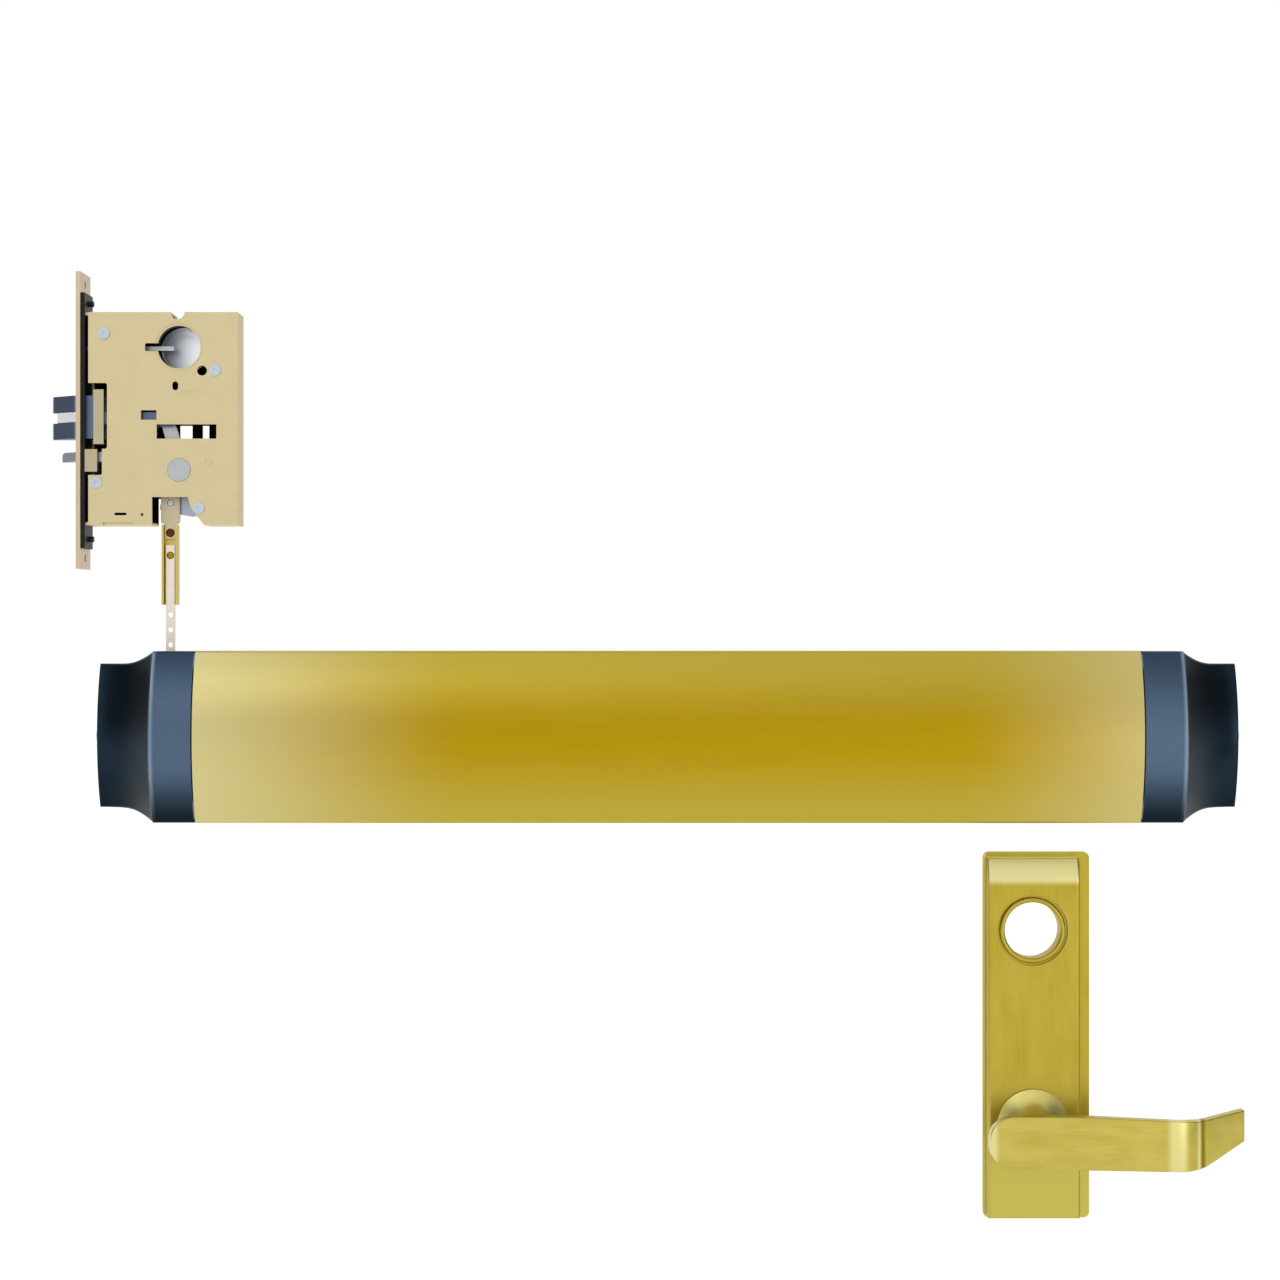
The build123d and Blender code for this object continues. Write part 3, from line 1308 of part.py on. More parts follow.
with BuildPart() as spindle:
    with BuildSketch(door_plane(36)):
        with Locations((trim_axis_x, trim_spindle_z)):
            Rectangle(spindle_size, spindle_size)
    extrude(amount=36 + 25.5)
keep(spindle.part, "trim_spindle")

with BuildPart() as ring:
    with BuildSketch(door_plane(-4.85)):
        with Locations((trim_axis_x, trim_spindle_z)):
            Circle(journal_r + 2.5)
            Circle(journal_r - 0.9, mode=Mode.SUBTRACT)
        with Locations((trim_axis_x, trim_spindle_z - journal_r)):
            Rectangle(8, 6, mode=Mode.SUBTRACT)
    extrude(amount=0.9)
keep(ring.part, "trim_retaining_ring")

stop_r = 21.0
stop_pin_r = 2.5
stop_arm = 9.0
stop_angle = degrees(asin(stop_arm / 2 / stop_r) + asin(stop_pin_r / stop_r)) + 1.2
with BuildPart() as stop:
    with BuildSketch(door_plane(-1.6)):
        arm_shape(
            (trim_axis_x, trim_spindle_z), (trim_axis_x, trim_spindle_z + stop_r), stop_arm
        )
        with Locations((trim_axis_x, trim_spindle_z)):
            Circle(11)
            Rectangle(spindle_size + 0.1, spindle_size + 0.1, mode=Mode.SUBTRACT)
    extrude(amount=2)
keep(stop.part, "trim_stop_arm")

with BuildPart() as stops:
    for angle in (-stop_angle, lever_swing + stop_angle):
        a = radians(angle)
        y_rod(
            trim_axis_x + stop_r * sin(a),
            trim_spindle_z + stop_r * cos(a),
            -trim_depth + trim_wall,
            -1,
            stop_pin_r,
        )
keep(stops.part, "trim_stop_pins")

trim_spring_plane = Plane(
    origin=(trim_axis_x, -6.2, trim_spindle_z), x_dir=(1, 0, 0), z_dir=(0, -1, 0)
)
keep(coil(trim_spring_plane, 16.5, 0.7, 3.4, 2), "trim_spring")
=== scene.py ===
import json
import math

import bmesh
import bpy
from bpy.props import FloatProperty, FloatVectorProperty, PointerProperty
from mathutils import Matrix, Vector


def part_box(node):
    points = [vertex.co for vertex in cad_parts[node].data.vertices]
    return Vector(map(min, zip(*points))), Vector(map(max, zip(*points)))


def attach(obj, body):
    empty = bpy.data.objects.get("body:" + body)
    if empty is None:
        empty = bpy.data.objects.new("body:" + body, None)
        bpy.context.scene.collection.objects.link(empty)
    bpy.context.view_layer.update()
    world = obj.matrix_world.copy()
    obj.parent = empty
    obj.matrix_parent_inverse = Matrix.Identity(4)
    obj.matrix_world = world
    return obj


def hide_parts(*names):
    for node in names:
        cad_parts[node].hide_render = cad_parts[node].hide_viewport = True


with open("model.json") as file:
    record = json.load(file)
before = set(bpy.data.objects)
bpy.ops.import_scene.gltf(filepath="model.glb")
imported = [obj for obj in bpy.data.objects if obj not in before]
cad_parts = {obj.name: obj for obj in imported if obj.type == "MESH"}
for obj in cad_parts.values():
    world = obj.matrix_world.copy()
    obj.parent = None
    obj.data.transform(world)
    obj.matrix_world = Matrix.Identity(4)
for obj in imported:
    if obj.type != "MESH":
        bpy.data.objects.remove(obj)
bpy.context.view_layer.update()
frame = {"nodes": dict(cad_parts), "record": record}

bl_info = {
    "name": "Mortise exit device",
    "version": (1, 0, 0),
    "blender": (4, 5, 0),
    "location": "View3D > Sidebar > Exit Device",
    "description": "Builds the push bar, the mortise lock and the lever trim of an exit device",
    "category": "Object",
}

MM = 0.001
FULL_TURN = 2 * math.pi
# name, place, what it is aimed at, width in metres, watts
LAMPS = (
    ("key", (-0.9, -2.6, 1.7), (0, 0, 0), 1.4, 4),
    ("right_strip", (1.7, -2.3, 0.0), (0.34, 0, -0.26), 0.5, 4.5),
)

# places on the bar in metres from its middle, each where a change of colour begins and where it ends
# painted highlights: the pad is paler towards its top and bottom, and towards both its ends
PAD_RIM_PAINTED_HIGHLIGHT = (0.004, 0.060)
PAD_END_PAINTED_HIGHLIGHTS = ((-0.13, -0.37), (0.19, 0.42))
# painted light on the caps: painted shade towards the band's top and bottom, a painted highlight on the
# crest, and painted shade underneath
CAP_BAND_PAINTED_SHADE = (0.012, 0.062)
CAP_UNDERSIDE_PAINTED_SHADE = (-0.02, -0.062)
CAP_CREST_PAINTED_HIGHLIGHT = (0.3405, 0.3432)
CAP_FLARE = (0.3434, 0.3452)
# a painted reflection on one side of the cylinder cup's hollow
CUP_PAINTED_REFLECTION = (-0.347, -0.322)
UNLIT = "#0B0A08"
WHITE = (1, 1, 1, 1)
FLOOR_Z, FLOOR_HALF = -0.42, 30
CAMERA_PLACE, CAMERA_LENS, CAMERA_SENSOR = (-0.0187, -1.7, 0.0647), 70.31, 36


# ---------------------------------------------------------------- small tools
def linear(code):
    """An sRGB hex colour as linear RGBA."""
    parts = [int(code[i : i + 2], 16) / 255 for i in (1, 3, 5)]
    return (*[c / 12.92 if c <= 0.04045 else ((c + 0.055) / 1.055) ** 2.4 for c in parts], 1.0)


def add_node(tree, kind, settings=None):
    """Adds a node. Another node's output is linked to the input named, and any other value is set."""
    node = tree.nodes.new(kind)
    for key, value in (settings or {}).items():
        if isinstance(value, bpy.types.NodeSocket):
            tree.links.new(value, node.inputs[key])
        elif isinstance(key, str) and hasattr(node, key):
            setattr(node, key, value)
        else:
            node.inputs[key].default_value = value
    return node


def new_material(name):
    """An empty material, with its node tree and its object coordinates."""
    material = bpy.data.materials.new(name)
    material.use_nodes = True
    tree = material.node_tree
    tree.nodes.clear()
    return material, tree, add_node(tree, "ShaderNodeTexCoord").outputs["Object"]


def shaded(tree, values):
    """Ends a material in one Principled shader that has these values."""
    shader = add_node(tree, "ShaderNodeBsdfPrincipled", values)
    add_node(tree, "ShaderNodeOutputMaterial", {"Surface": shader.outputs["BSDF"]})


def stretched_noise(tree, coords, size_mm, stretch, detail=3.0, rough=0.5):
    """Noise with cells of a real size, drawn out along the axes with a larger stretch."""
    scale = [1 / (size_mm * MM * s) for s in stretch]
    mapping = add_node(tree, "ShaderNodeMapping", {"Scale": scale, "Vector": coords})
    noise = {"Scale": 1.0, "Detail": detail, "Roughness": rough, "Vector": mapping.outputs["Vector"]}
    return add_node(tree, "ShaderNodeTexNoise", noise).outputs["Fac"]


def spread(tree, coords, axis, low, high, mirrored=True):
    """From 0 to 1 as a place on an axis, or its distance from the bar's middle, goes from low to high."""
    place = add_node(tree, "ShaderNodeSeparateXYZ", {"Vector": coords}).outputs[axis]
    if mirrored:
        place = add_node(tree, "ShaderNodeMath", {"operation": "ABSOLUTE", 0: place}).outputs["Value"]
    limits = {"interpolation_type": "SMOOTHSTEP", "From Min": low, "From Max": high, "Value": place}
    return add_node(tree, "ShaderNodeMapRange", limits).outputs["Result"]


def within(tree, coords, limits):
    """1 inside a region, 0 outside it. Each axis has four places: rise from, rise to, fall from, fall to."""
    factor = None
    for axis, (rise_low, rise_high, fall_low, fall_high) in limits.items():
        rise = spread(tree, coords, axis, rise_low, rise_high, mirrored=False)
        fall = spread(tree, coords, axis, fall_high, fall_low, mirrored=False)
        for part in (rise, fall):
            if factor:
                both = {"operation": "MULTIPLY", 0: factor, 1: part}
                part = add_node(tree, "ShaderNodeMath", both).outputs["Value"]
            factor = part
    return factor


def painted(tree, base, coats):
    """Paints coats over a base. A coat has a mask, how much shows where the mask is 0 and 1, and a colour."""
    colour = linear(base) if isinstance(base, str) else base
    for mask, shows, coat in coats:
        if shows:
            limits = {"Value": mask, "To Min": shows[0], "To Max": shows[1]}
            mask = add_node(tree, "ShaderNodeMapRange", limits).outputs["Result"]
        over = linear(coat) if isinstance(coat, str) else coat
        blend = {"data_type": "RGBA", 0: mask, 6: colour, 7: over}
        colour = add_node(tree, "ShaderNodeMix", blend).outputs[2]
    return colour


def metal(tree, metallic, colour, grain, rough, depth_mm, strength):
    """Shades a metal, with a roughness and a fine relief that both follow the grain."""
    limits = {"Value": grain, "To Min": rough[0], "To Max": rough[1]}
    relief = {"Height": grain, "Strength": strength, "Distance": depth_mm * MM}
    shaded(
        tree,
        {
            "Metallic": metallic,
            "Base Color": colour,
            "Roughness": add_node(tree, "ShaderNodeMapRange", limits).outputs["Result"],
            "Normal": add_node(tree, "ShaderNodeBump", relief).outputs["Normal"],
        },
    )


def dress(names, material):
    """Gives CAD nodes a material."""
    for name in names:
        node = frame["nodes"][name]
        node.data.materials.clear()
        node.data.materials.append(material)


# ---------------------------------------------------------------- materials
def satin_brass(name, deep, pale, along=(60, 1, 1), painted_highlights=None, tints_and_painted_light=()):
    """Brass sheet that was belt-brushed and lacquered.

    The belt leaves fine lines along one axis, which draw the light out across them, and the lacquer
    keeps the colour even. Over it go painted highlights, where the pad is paler towards its top and
    bottom and towards both its ends, and patches that are painted highlights and painted shadows on
    the trim, or a plain tint. The real lines are about 0.1 mm apart, too fine to show, so they are
    drawn at 0.7 mm.
    """
    material, tree, coords = new_material(name)
    line_mm, cloud_mm, cloud_stretch = 0.7, 9, 0.06
    lines = stretched_noise(tree, coords, line_mm, along, 4.0)
    clouds = stretched_noise(tree, coords, cloud_mm, [1 + cloud_stretch * a for a in along], 3.0)
    coats = [(clouds, (-0.3, 1.3), pale), (lines, (-0.5, 1.1), pale)]
    # painted highlights on the pad: paler towards its top and bottom, and towards both its ends
    if painted_highlights:
        rim, end_highlight = painted_highlights
        coats.append((spread(tree, coords, "Z", *PAD_RIM_PAINTED_HIGHLIGHT), None, rim))
        for near, far in PAD_END_PAINTED_HIGHLIGHTS:
            coats.append((spread(tree, coords, "X", near, far, mirrored=False), None, end_highlight))
    # patches over the brass: painted highlights, painted shadows and plain tints
    for limits, patch_colour in tints_and_painted_light:
        coats.append((within(tree, coords, limits), None, patch_colour))
    metal(tree, 1.0, painted(tree, deep, coats), lines, (0.3, 0.46), 0.03, 0.5)
    return material


def anodised(name, band_painted_reflection, edge, flare, crest_painted_highlight):
    """Cast caps, anodised dark after a light brushing.

    The dye takes unevenly on a casting, so the flare past the band is clouded and nearly black. The
    band's slate is a painted reflection of the lamps, with painted shade towards its top and bottom;
    the ridge between band and flare is a thin painted highlight, and the underside is painted shade.
    The brushing is finer than 0.2 mm and is drawn at 0.8 mm so that it shows.
    """
    material, tree, coords = new_material(name)
    grain_mm, cloud_mm = 0.8, 22
    grain = stretched_noise(tree, coords, grain_mm, (1, 1, 25), 3.0)
    cloud = stretched_noise(tree, coords, cloud_mm, (1, 1, 1), 2.0)
    # the band: a painted reflection, with painted shade towards its top and bottom and a painted highlight
    # line on the crest
    band = painted(
        tree,
        band_painted_reflection,
        [
            (spread(tree, coords, "Z", *CAP_BAND_PAINTED_SHADE), None, edge),
            (spread(tree, coords, "X", *CAP_CREST_PAINTED_HIGHLIGHT), None, crest_painted_highlight),
        ],
    )
    dark = painted(tree, flare, [(cloud, (0.0, 0.5), edge)])
    colour = painted(
        tree,
        band,
        [
            (spread(tree, coords, "X", *CAP_FLARE), None, dark),
            (grain, (0.0, 0.2), flare),
            # painted shade on the underside
            (spread(tree, coords, "Z", *CAP_UNDERSIDE_PAINTED_SHADE, mirrored=False), None, flare),
        ],
    )
    metal(tree, 1.0, colour, grain, (0.3, 0.44), 0.02, 0.3)
    return material


def steel(name, dark, light, rough=0.38, metallic=1.0, lines=(1, 1, 1), hollow=None, slope=None):
    """Steel with a thin finish over it: plated, passivated, oxidised, or bare from its making.

    A bath clouds a surface in patches of a centimetre or so, and rolling or pressing leaves a grain,
    which runs in lines where lines says so. The real grain is about 0.1 mm and is drawn at 0.9 mm so
    that it shows. A hollow is a region that hardly any light gets into, painted in shade, and a slope
    is a painted reflection: where it brightens along X, from and to, and the bright colour.
    """
    material, tree, coords = new_material(name)
    grain_mm, cloud_mm = 0.9, 12
    cloud = stretched_noise(tree, coords, cloud_mm, (1, 1, 1), 3.0, 0.6)
    grain = stretched_noise(tree, coords, grain_mm, lines, 3.0)
    coats = [(cloud, (0.1, 0.9), light), (grain, (0.0, 0.25), dark)]
    # a painted reflection brightening along X
    if slope:
        from_x, to_x, bright = slope
        coats.append((spread(tree, coords, "X", from_x, to_x, mirrored=False), None, bright))
    # painted shade where hardly any light gets in
    if hollow:
        coats.append((within(tree, coords, hollow), None, UNLIT))
    metal(tree, metallic, painted(tree, dark, coats), grain, (rough - 0.07, rough + 0.1), 0.03, 0.4)
    return material


# ---------------------------------------------------------------- shapes
def make_piece(bm, name, body, replaced, material, sharp=32):
    """Turns a bmesh into a piece that rides on a CAD body and stands for CAD nodes."""
    mesh = bpy.data.meshes.new(name)
    bm.to_mesh(mesh)
    bm.free()
    mesh.shade_smooth()
    mesh.set_sharp_from_angle(angle=math.radians(sharp))
    mesh.materials.append(material)
    piece = bpy.data.objects.new(name, mesh)
    bpy.context.scene.collection.objects.link(piece)
    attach(piece, body)
    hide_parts(*replaced)


def bevel_edges(bm, edges, offset, segments):
    """Rounds edges."""
    bmesh.ops.bevel(
        bm,
        geom=edges,
        offset=offset,
        offset_type="OFFSET",
        segments=segments,
        profile=0.5,
        affect="EDGES",
        material=-1,
        clamp_overlap=True,
    )


def lathe(profile, centre, steps=64):
    """A turned shape about a line along Y, from (radius, y) points."""
    bm = bmesh.new()
    x, z = centre
    chain = [bm.verts.new((x + r, y, z)) for r, y in profile]
    for first, second in zip(chain, chain[1:]):
        bm.edges.new((first, second))
    bmesh.ops.spin(
        bm,
        geom=bm.verts[:] + bm.edges[:],
        cent=(x, 0, z),
        axis=(0, 1, 0),
        angle=FULL_TURN,
        steps=steps,
        use_merge=True,
        use_duplicate=False,
    )
    bmesh.ops.remove_doubles(bm, verts=bm.verts, dist=1e-6)
    return bm


def along_points(points, x):
    """The height at x of the line through (x, height) points."""
    if x <= points[0][0]:
        return points[0][1]
    for (x0, h0), (x1, h1) in zip(points, points[1:]):
        if x <= x1:
            return h0 + (h1 - h0) * (x - x0) / (x1 - x0)
    return points[-1][1]


# ---------------------------------------------------------------- settings
class ExitDeviceSizes(bpy.types.PropertyGroup):
    lever_edge: FloatProperty(
        name="Lever edge",
        description="Radius round the lever's blade",
        default=3.0 * MM,
        min=0.0,
        unit="LENGTH",
    )
    heel_rim: FloatProperty(
        name="Heel rim",
        description="How much wider the rounding is at the lever's round end",
        default=2.6 * MM,
        min=0.0,
        unit="LENGTH",
    )
    collar_bore: FloatProperty(
        name="Collar bore",
        description="Radius of the trim's cylinder hole",
        default=18.8 * MM,
        min=0.0,
        unit="LENGTH",
    )


class ExitDeviceColours(bpy.types.PropertyGroup):
    lamp_tint: FloatVectorProperty(
        name="Lamp tint",
        description="Colour of the studio lamps",
        default=(1.0, 1.0, 1.0),
        size=3,
        min=0.0,
        max=1.0,
        subtype="COLOR",
    )
    paper: FloatVectorProperty(
        name="Paper",
        description="Colour of the floor",
        default=linear("#E8E8E8")[:3],
        size=3,
        min=0.0,
        max=1.0,
        subtype="COLOR",
    )


# ---------------------------------------------------------------- operators
# the trim's three brasses, which its plate's operator makes and the collar and the lever also wear
BRASS = {}


def dress_slot(slot, material):
    """Gives a material to every CAD node of a slot. A later call of dress gives a node one of its own."""
    dress([row["node"] for row in frame["record"]["subparts"] if row["material_slot"] == slot], material)


class EXITDEVICE_OT_bar(bpy.types.Operator):
    """Finishes the push pad, the end caps and what is in the housing"""

    bl_idname = "exitdevice.bar"
    bl_label = "Bar"

    def execute(self, context):
        # zinc plated brackets and rods: pale grey, softly clouded
        dress_slot("zinc_steel", steel("zinc_plated_steel", "#A9ADB0", "#C8CBCD"))
        # pressed and sintered levers, oiled: a blue grey with a fine even grain
        dress_slot("dark_steel", steel("sintered_steel", "#5C6880", "#6F7B92", 0.42))
        # screws plated bright: bluish and smoother than the brackets
        dress_slot("screw_zinc", steel("bright_zinc_screws", "#AFBFCC", "#C9D6E0", 0.35))
        # wire drawn through a die: mid grey and smooth
        dress_slot("spring_steel", steel("drawn_spring_wire", "#75797D", "#8C9195", 0.35))
        # the last two colours are painted highlights: the pad paler at its top and bottom, and at its ends
        pad = satin_brass("brushed_brass_pad", "#AB8B08", "#B49415", (80, 1, 1), ("#BAA640", "#D2C890"))
        dress_slot("satin_brass", pad)
        # the slate band colour is a painted reflection, the second colour is painted shade on the band and
        # clouds in the flare, and the last is a painted highlight on the crest
        dress_slot("cap_blue_black", anodised("anodised_caps", "#566980", "#35465A", "#121D22", "#8294A6"))
        return {"FINISHED"}


class EXITDEVICE_OT_lock(bpy.types.Operator):
    """Finishes the mortise lock"""

    bl_idname = "exitdevice.lock"
    bl_label = "Mortise lock"

    def execute(self, context):
        painted_shade_bay = {
            "X": (-0.3972, -0.3968, -0.2956, -0.2952),
            "Y": (0.0116, 0.0120, 0.0341, 0.0345),
            "Z": (0.1443, 0.1447, 0.2870, 0.2874),
        }
        # a pressed case, zinc plated and passivated: a clouded straw colour, with painted shade inside
        case = steel("yellow_passivated_zinc", "#CFBF93", "#D9CBA4", 0.45, hollow=painted_shade_bay)
        dress_slot("case_dichromate", case)
        # a front brushed along its length: long pale pink-brown lines
        front = steel("satin_bronze_front", "#C2AC8C", "#DCCAB0", 0.4, lines=(1, 1, 30))
        dress_slot("front_brass", front)
        # oxide grown on the steel: near black, and duller than bare metal
        dress(["inner_front", "front_screws"], steel("black_oxide_steel", "#15171A", "#24272B", 0.5, 0.6))
        # sintered guides with a tan passivation: flat and fine-grained
        dress(["latch_guide", "guard_guide"], steel("tan_guides", "#B5AB8A", "#C4BB9C", 0.45))
        # ground smooth, so a cool bright grey
        dress(["guard_bolt"], steel("ground_guard_bolt", "#B4BFCC", "#C8D1DB", 0.35))
        # nickel over a casting: the whitest piece of the lock, a little milky
        dress(["latch_tongue"], steel("nickel_plated_tongue", "#FAFAFB", "#FFFFFF", 0.45, 0.6))
        dress(["lift_lever"], steel("pale_zinc_lever", "#A3ABBB", "#B4BCCB", 0.4))
        # turned in a lathe, with a painted reflection that brightens one side of the hollow
        cup = steel("turned_cup", "#7E848B", "#8E949C", 0.35, slope=(*CUP_PAINTED_REFLECTION, "#F2F4FA"))
        dress(["cylinder_cup"], cup)
        return {"FINISHED"}


class EXITDEVICE_OT_link(bpy.types.Operator):
    """Finishes the link and builds its two domed rivets"""

    bl_idname = "exitdevice.link"
    bl_label = "Link"

    def execute(self, context):
        # folded from rolled strip and passivated gold: a yellow with lines along the strip
        dress_slot("link_gold", steel("gold_passivated_link", "#C6B152", "#D4C477", 0.4, lines=(1, 1, 20)))
        # pressed steel, passivated tan: flat and fine-grained
        dress(["link_tab"], steel("tan_tab", "#BFB292", "#CEC2A3", 0.45))
        # zinc sealed with wax: almost white, warm, with faint rolling lines
        dress(["link_strip"], steel("waxed_zinc_strip", "#E4D8CA", "#F2E9E0", 0.45, lines=(1, 1, 20)))
        low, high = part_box("link_rivets")
        # domed steel rivets, the upper browned and the lower passivated amber
        brown = steel("browned_rivet", "#552C08", "#743F0C", 0.45)
        amber = steel("amber_rivet", "#9A7A10", "#B59526", 0.45)
        upper, lower = 3.0 * MM, 2.6 * MM
        rivets = (
            ("upper_rivet", high[2] - upper, upper, brown),
            ("lower_rivet", low[2] + lower, lower, amber),
        )
        shank, dome, dome_steps = 1.6 * MM, 1.2 * MM, 6
        for name, z, r, material in rivets:
            quarter = [FULL_TURN / 4 * n / dome_steps for n in range(dome_steps + 1)]
            head = [(r * math.sin(t), low[1] + dome * (1 - math.cos(t))) for t in quarter]
            tail_y = high[1] - 1 * MM
            tail = [(shank, low[1] + dome), (shank, tail_y), (r, tail_y), (r, high[1]), (0.0, high[1])]
            bm = lathe([*head, *tail], ((low[0] + high[0]) / 2, z), 32)
            bmesh.ops.recalc_face_normals(bm, faces=bm.faces)
            make_piece(bm, name, "link", ["link_rivets"], material)
        return {"FINISHED"}


class EXITDEVICE_OT_trim(bpy.types.Operator):
    """Finishes the lever trim's plate"""

    bl_idname = "exitdevice.trim"
    bl_label = "Trim plate"

    def execute(self, context):
        # painted light on the plate: a painted highlight on the top roll and down the left edge, and a
        # painted shadow in the right groove; the foot is a plain tint, paler towards the bottom
        roll = {"X": (0.2160, 0.2168, 0.2770, 0.2778), "Z": (-0.1015, -0.0965, -0.0824, -0.0822)}
        left_edge = {"X": (0.2000, 0.2001, 0.2150, 0.2165)}
        right_groove = {"X": (0.2768, 0.2776, 0.2790, 0.2800), "Z": (-0.3400, -0.3270, -0.0860, -0.0850)}
        foot = {"Z": (-0.4100, -0.4000, -0.3050, -0.2100)}
        plate_tint_and_painted_light = [(foot, "#C2B455"), (left_edge, "#CFC26A"), (right_groove, "#8F7C1C"), (roll, "#DDD594")]
        BRASS["plate"] = satin_brass("brushed_brass_trim", "#AA9528", "#BBA944", (1, 1, 30), tints_and_painted_light=plate_tint_and_painted_light)
        # painted light on the lever: painted highlights on the round heel, across the bend and on the lip,
        # and a painted shadow in the crease
        heel = {"X": (0.2110, 0.2124, 0.2150, 0.2195)}
        bend_highlight = {"X": (0.3280, 0.3340, 0.3400, 0.3450)}
        lip = {"X": (0.3500, 0.3508, 0.3520, 0.3528)}
        crease = {"X": (0.3530, 0.3538, 0.3560, 0.3568)}
        lever_painted_light = [(heel, "#DED590"), (bend_highlight, "#DBD189"), (lip, "#DED590"), (crease, "#948020")]
        BRASS["lever"] = satin_brass("brushed_brass_lever", "#B09C34", "#C9BB62", (30, 1, 1), tints_and_painted_light=lever_painted_light)
        # a paler copy of the lever's brass, painted lighter so that the flared neck looks lit
        BRASS["neck"] = satin_brass("brushed_brass_neck_painted_light", "#D0C36C", "#E0D584", (1, 1, 1))
        dress_slot("trim_brass", BRASS["plate"])
        return {"FINISHED"}


class EXITDEVICE_OT_trim_collar(bpy.types.Operator):
    """Builds the rounded ring round the trim's cylinder hole"""

    bl_idname = "exitdevice.trim_collar"
    bl_label = "Trim collar"

    def execute(self, context):
        low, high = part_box("trim_collar")
        centre = ((low[0] + high[0]) / 2, (low[2] + high[2]) / 2)
        outer = (high[0] - low[0]) / 2
        face = low[1]
        bore = context.scene.exit_device_sizes.collar_bore
        groove = 1.2 * MM  # between the lip and the plate
        lip_y, lip_rise, lip_steps = face + 0.6 * MM, 1.6 * MM, 8
        back_y, wall = face + 1.8 * MM, 2.3 * MM
        lip = outer - groove - bore
        profile = [(bore, high[1]), (bore, lip_y)]
        for n in range(lip_steps + 1):
            turn = math.pi * n / lip_steps
            radius = bore + lip / 2 - lip / 2 * math.cos(turn)
            profile.append((radius, lip_y - lip_rise * math.sin(turn)))
        profile += [(bore + lip, back_y), (bore + wall, back_y), (bore + wall, high[1])]
        bm = lathe([*profile, profile[0]], centre, 96)
        bmesh.ops.recalc_face_normals(bm, faces=bm.faces)
        make_piece(bm, "collar_ring", "frame", ["trim_collar"], BRASS["plate"])
        return {"FINISHED"}


class EXITDEVICE_OT_trim_lever(bpy.types.Operator):
    """Builds the lever: a rounded blade with a returned end, and its flared neck"""

    bl_idname = "exitdevice.trim_lever"
    bl_label = "Trim lever"

    def execute(self, context):
        low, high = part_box("trim_lever")
        sizes = context.scene.exit_device_sizes
        axis_x, axis_z, mid_z = 0.246, -0.262, -0.2675
        heel_r, thick = 17.3 * MM, 9 * MM
        left, right, front = low[0], high[0], low[1]
        mid_x = (left + right) / 2
        bm = bmesh.new()
        bmesh.ops.create_cube(bm, size=1.0)
        size = Matrix.Diagonal((right - left, thick, 2 * heel_r, 1))
        place = Matrix.Translation((mid_x, front + thick / 2, mid_z))
        bmesh.ops.transform(bm, matrix=place @ size, verts=bm.verts)
        across = [e for e in bm.edges if abs(e.verts[0].co.y - e.verts[1].co.y) > thick / 2]
        # just under the full radius, so that the two roundings of the heel don't meet
        heel_round, tip_round = heel_r * 0.998, 1.2 * MM
        bevel_edges(bm, [e for e in across if e.verts[0].co.x < mid_x], heel_round, 16)
        across = [e for e in bm.edges if abs(e.verts[0].co.y - e.verts[1].co.y) > thick / 2]
        bevel_edges(bm, [e for e in across if e.verts[0].co.x > right - 1e-6], tip_round, 3)
        level = [e for e in bm.edges if abs(e.verts[0].co.y - e.verts[1].co.y) < 1e-7]
        bevel_edges(bm, [e for e in level if e.calc_face_angle(0) > 1], sizes.lever_edge, 6)
        # coarse cuts along the straight, and fine ones where it bends
        straight_start, straight_step, straight_cuts = left + 20 * MM, 6 * MM, 12
        bend_start, bend_step, bend_cuts = right - 62 * MM, 1.5 * MM, 41
        cuts = [straight_start + n * straight_step for n in range(straight_cuts)]
        cuts += [bend_start + n * bend_step for n in range(bend_cuts)]
        for x in cuts:
            geometry = bm.verts[:] + bm.edges[:] + bm.faces[:]
            bmesh.ops.bisect_plane(bm, geom=geometry, dist=1e-7, plane_co=(x, 0, 0), plane_no=(1, 0, 0))
        # half heights above and below the middle line, in millimetres, along the blade
        top = [(0.226, 17.4), (0.278, 17.0), (0.320, 14.9), (0.3486, 13.7), (0.3544, 13.5), (0.387, 17.0)]
        bottom = [(0.230, 17.3), (0.343, 19.5), (0.3544, 18.5), (0.362, 15.6), (0.387, 3.9)]
        bend_x, soft, slope = 0.336, 16 * MM, 0.62
        crease_x, crease, crease_depth = 0.3545, 1.8 * MM, 1.3 * MM
        front_side = front + 12 * MM
        rim = 9 * MM
        for v in bm.verts:
            x, rise = v.co.x, v.co.z - mid_z
            v.co.z = mid_z + rise * along_points(top if rise > 0 else bottom, x) * MM / heel_r
            bend = max(0.0, x - bend_x)
            v.co.y += slope * (bend**2 / (2 * soft) if bend < soft else bend - soft / 2)
            groove = abs(x - crease_x)
            if groove < crease and v.co.y < front_side:
                v.co.y += crease_depth * (1 - groove / crease)
            if x < left + rim:
                v.co.x = left + rim * (max(0.0, x - left) / rim) ** (1 + sizes.heel_rim / rim)
        bmesh.ops.recalc_face_normals(bm, faces=bm.faces)
        make_piece(bm, "lever_blade", "lever", ["trim_lever"], BRASS["lever"])
        back, base_y = front + thick - 1 * MM, -16 * MM
        inner_r, flare, neck_steps = 11.5 * MM, 12.5 * MM, 12
        rim_y, hub_r, hub_y = base_y - 0.8 * MM, 12 * MM, -4 * MM
        neck = [(0.0, back)]
        for n in range(neck_steps + 1):
            share = n / neck_steps
            neck.append((inner_r + flare * share**4, back + share * (rim_y - back)))
        neck += [(inner_r + flare, base_y), (hub_r, base_y), (hub_r, hub_y), (0.0, hub_y)]
        bm = lathe(neck, (axis_x, axis_z), 72)
        bmesh.ops.recalc_face_normals(bm, faces=bm.faces)
        make_piece(bm, "lever_neck", "lever", ["trim_lever"], BRASS["neck"])
        return {"FINISHED"}


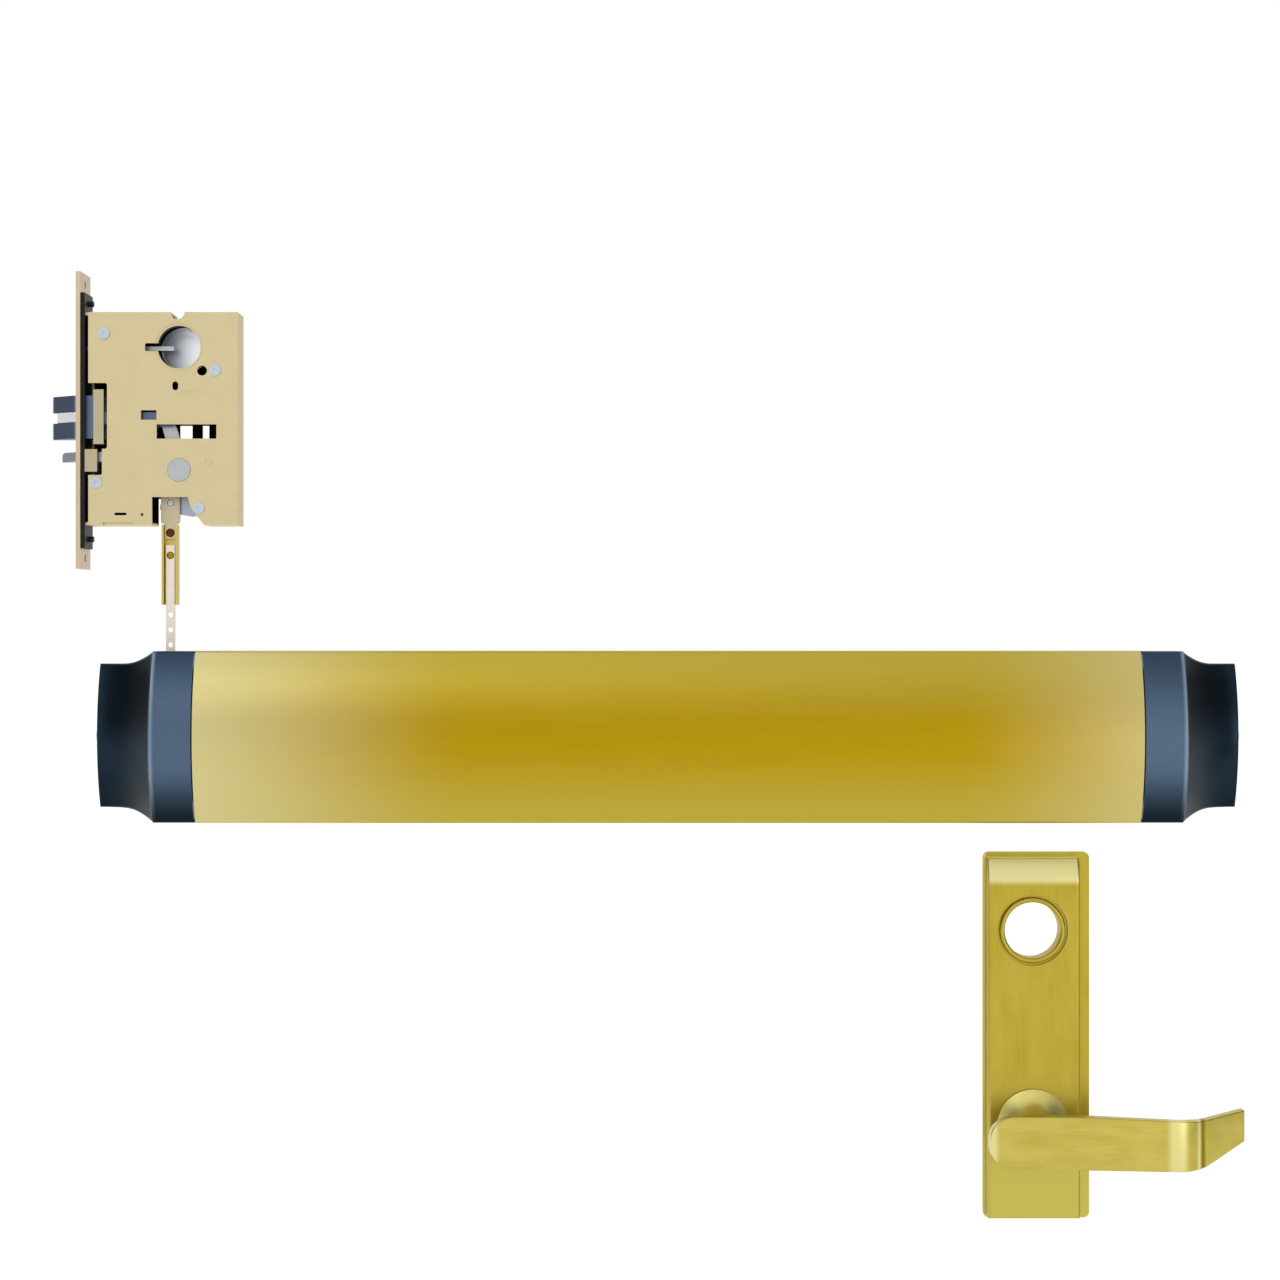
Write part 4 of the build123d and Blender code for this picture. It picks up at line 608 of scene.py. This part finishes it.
class EXITDEVICE_OT_stage(bpy.types.Operator):
    """Sets the floor, the lights and the camera"""

    bl_idname = "exitdevice.stage"
    bl_label = "Set the stage"

    def execute(self, context):
        scene = context.scene
        bm = bmesh.new()
        bmesh.ops.create_grid(bm, x_segments=1, y_segments=1, size=FLOOR_HALF)
        bmesh.ops.translate(bm, vec=(0, 0, FLOOR_Z), verts=bm.verts)
        data = bpy.data.meshes.new("floor")
        bm.to_mesh(data)
        bm.free()
        floor = bpy.data.objects.new("floor", data)
        scene.collection.objects.link(floor)
        # uncoated paper: matt, and lit from within a little so that it stays pale to the edges
        paper, paper_tree, _ = new_material("matt_paper")
        shaded(
            paper_tree,
            {
                "Roughness": 0.9,
                "Base Color": (*scene.exit_device_colours.paper, 1.0),
                "Emission Color": WHITE,
                "Emission Strength": 0.42,
            },
        )
        floor.data.materials.append(paper)
        world = bpy.data.worlds.new("studio")
        world.use_nodes = True
        tree = world.node_tree
        tree.nodes.clear()
        coords = add_node(tree, "ShaderNodeTexCoord")
        axes = add_node(tree, "ShaderNodeSeparateXYZ", {"Vector": coords.outputs["Generated"]})
        sideways = add_node(tree, "ShaderNodeMath", {"operation": "ABSOLUTE", 0: axes.outputs["X"]})
        # bright in front and dimmer to the sides, which gives round things a shaded edge
        limits = {"From Min": 0.45, "From Max": 0.9, "To Min": 0.95, "To Max": 0.15}
        limits.update({"interpolation_type": "SMOOTHSTEP", "Value": sideways.outputs["Value"]})
        fade = add_node(tree, "ShaderNodeMapRange", limits)
        room = add_node(tree, "ShaderNodeBackground", {"Color": WHITE, "Strength": fade.outputs["Result"]})
        backdrop = add_node(tree, "ShaderNodeBackground", {"Color": WHITE, "Strength": 1.0})
        seen = add_node(tree, "ShaderNodeLightPath").outputs["Is Camera Ray"]
        choice = {0: seen, 1: room.outputs["Background"], 2: backdrop.outputs["Background"]}
        mix = add_node(tree, "ShaderNodeMixShader", choice)
        add_node(tree, "ShaderNodeOutputWorld", {"Surface": mix.outputs["Shader"]})
        scene.world = world
        scene.view_settings.view_transform = "Standard"
        for name, place, aim, size, watts in LAMPS:
            light = bpy.data.lights.new(name, "AREA")
            light.energy = watts
            light.size = size
            light.color = scene.exit_device_colours.lamp_tint
            lamp = bpy.data.objects.new(name, light)
            lamp.location = place
            lamp.rotation_euler = (Vector(aim) - Vector(place)).to_track_quat("-Z", "Y").to_euler()
            scene.collection.objects.link(lamp)
        camera_data = bpy.data.cameras.new("camera")
        camera_data.sensor_width = CAMERA_SENSOR
        camera_data.lens = CAMERA_LENS
        camera = bpy.data.objects.new("camera", camera_data)
        camera.location = CAMERA_PLACE
        camera.rotation_euler = (math.radians(90), 0, 0)
        scene.collection.objects.link(camera)
        scene.camera = camera
        return {"FINISHED"}


class EXITDEVICE_PT_panel(bpy.types.Panel):
    """Lists the steps that build the exit device"""

    bl_idname = "EXITDEVICE_PT_panel"
    bl_label = "Exit Device"
    bl_space_type = "VIEW_3D"
    bl_region_type = "UI"
    bl_category = "Exit Device"

    def draw(self, context):
        for operator in OPERATORS:
            self.layout.operator(operator.bl_idname)


OPERATORS = (
    EXITDEVICE_OT_bar,
    EXITDEVICE_OT_lock,
    EXITDEVICE_OT_link,
    EXITDEVICE_OT_trim,
    EXITDEVICE_OT_trim_collar,
    EXITDEVICE_OT_trim_lever,
    EXITDEVICE_OT_stage,
)


CLASSES = (ExitDeviceSizes, ExitDeviceColours, *OPERATORS, EXITDEVICE_PT_panel)


def register():
    for cls in CLASSES:
        bpy.utils.register_class(cls)
    bpy.types.Scene.exit_device_sizes = PointerProperty(type=ExitDeviceSizes)
    bpy.types.Scene.exit_device_colours = PointerProperty(type=ExitDeviceColours)


def unregister():
    del bpy.types.Scene.exit_device_colours
    del bpy.types.Scene.exit_device_sizes
    for cls in reversed(CLASSES):
        bpy.utils.unregister_class(cls)


def main():
    register()
    for operator in OPERATORS:
        group, name = operator.bl_idname.split(".")
        getattr(getattr(bpy.ops, group), name)()


if __name__ == "__main__":
    main()
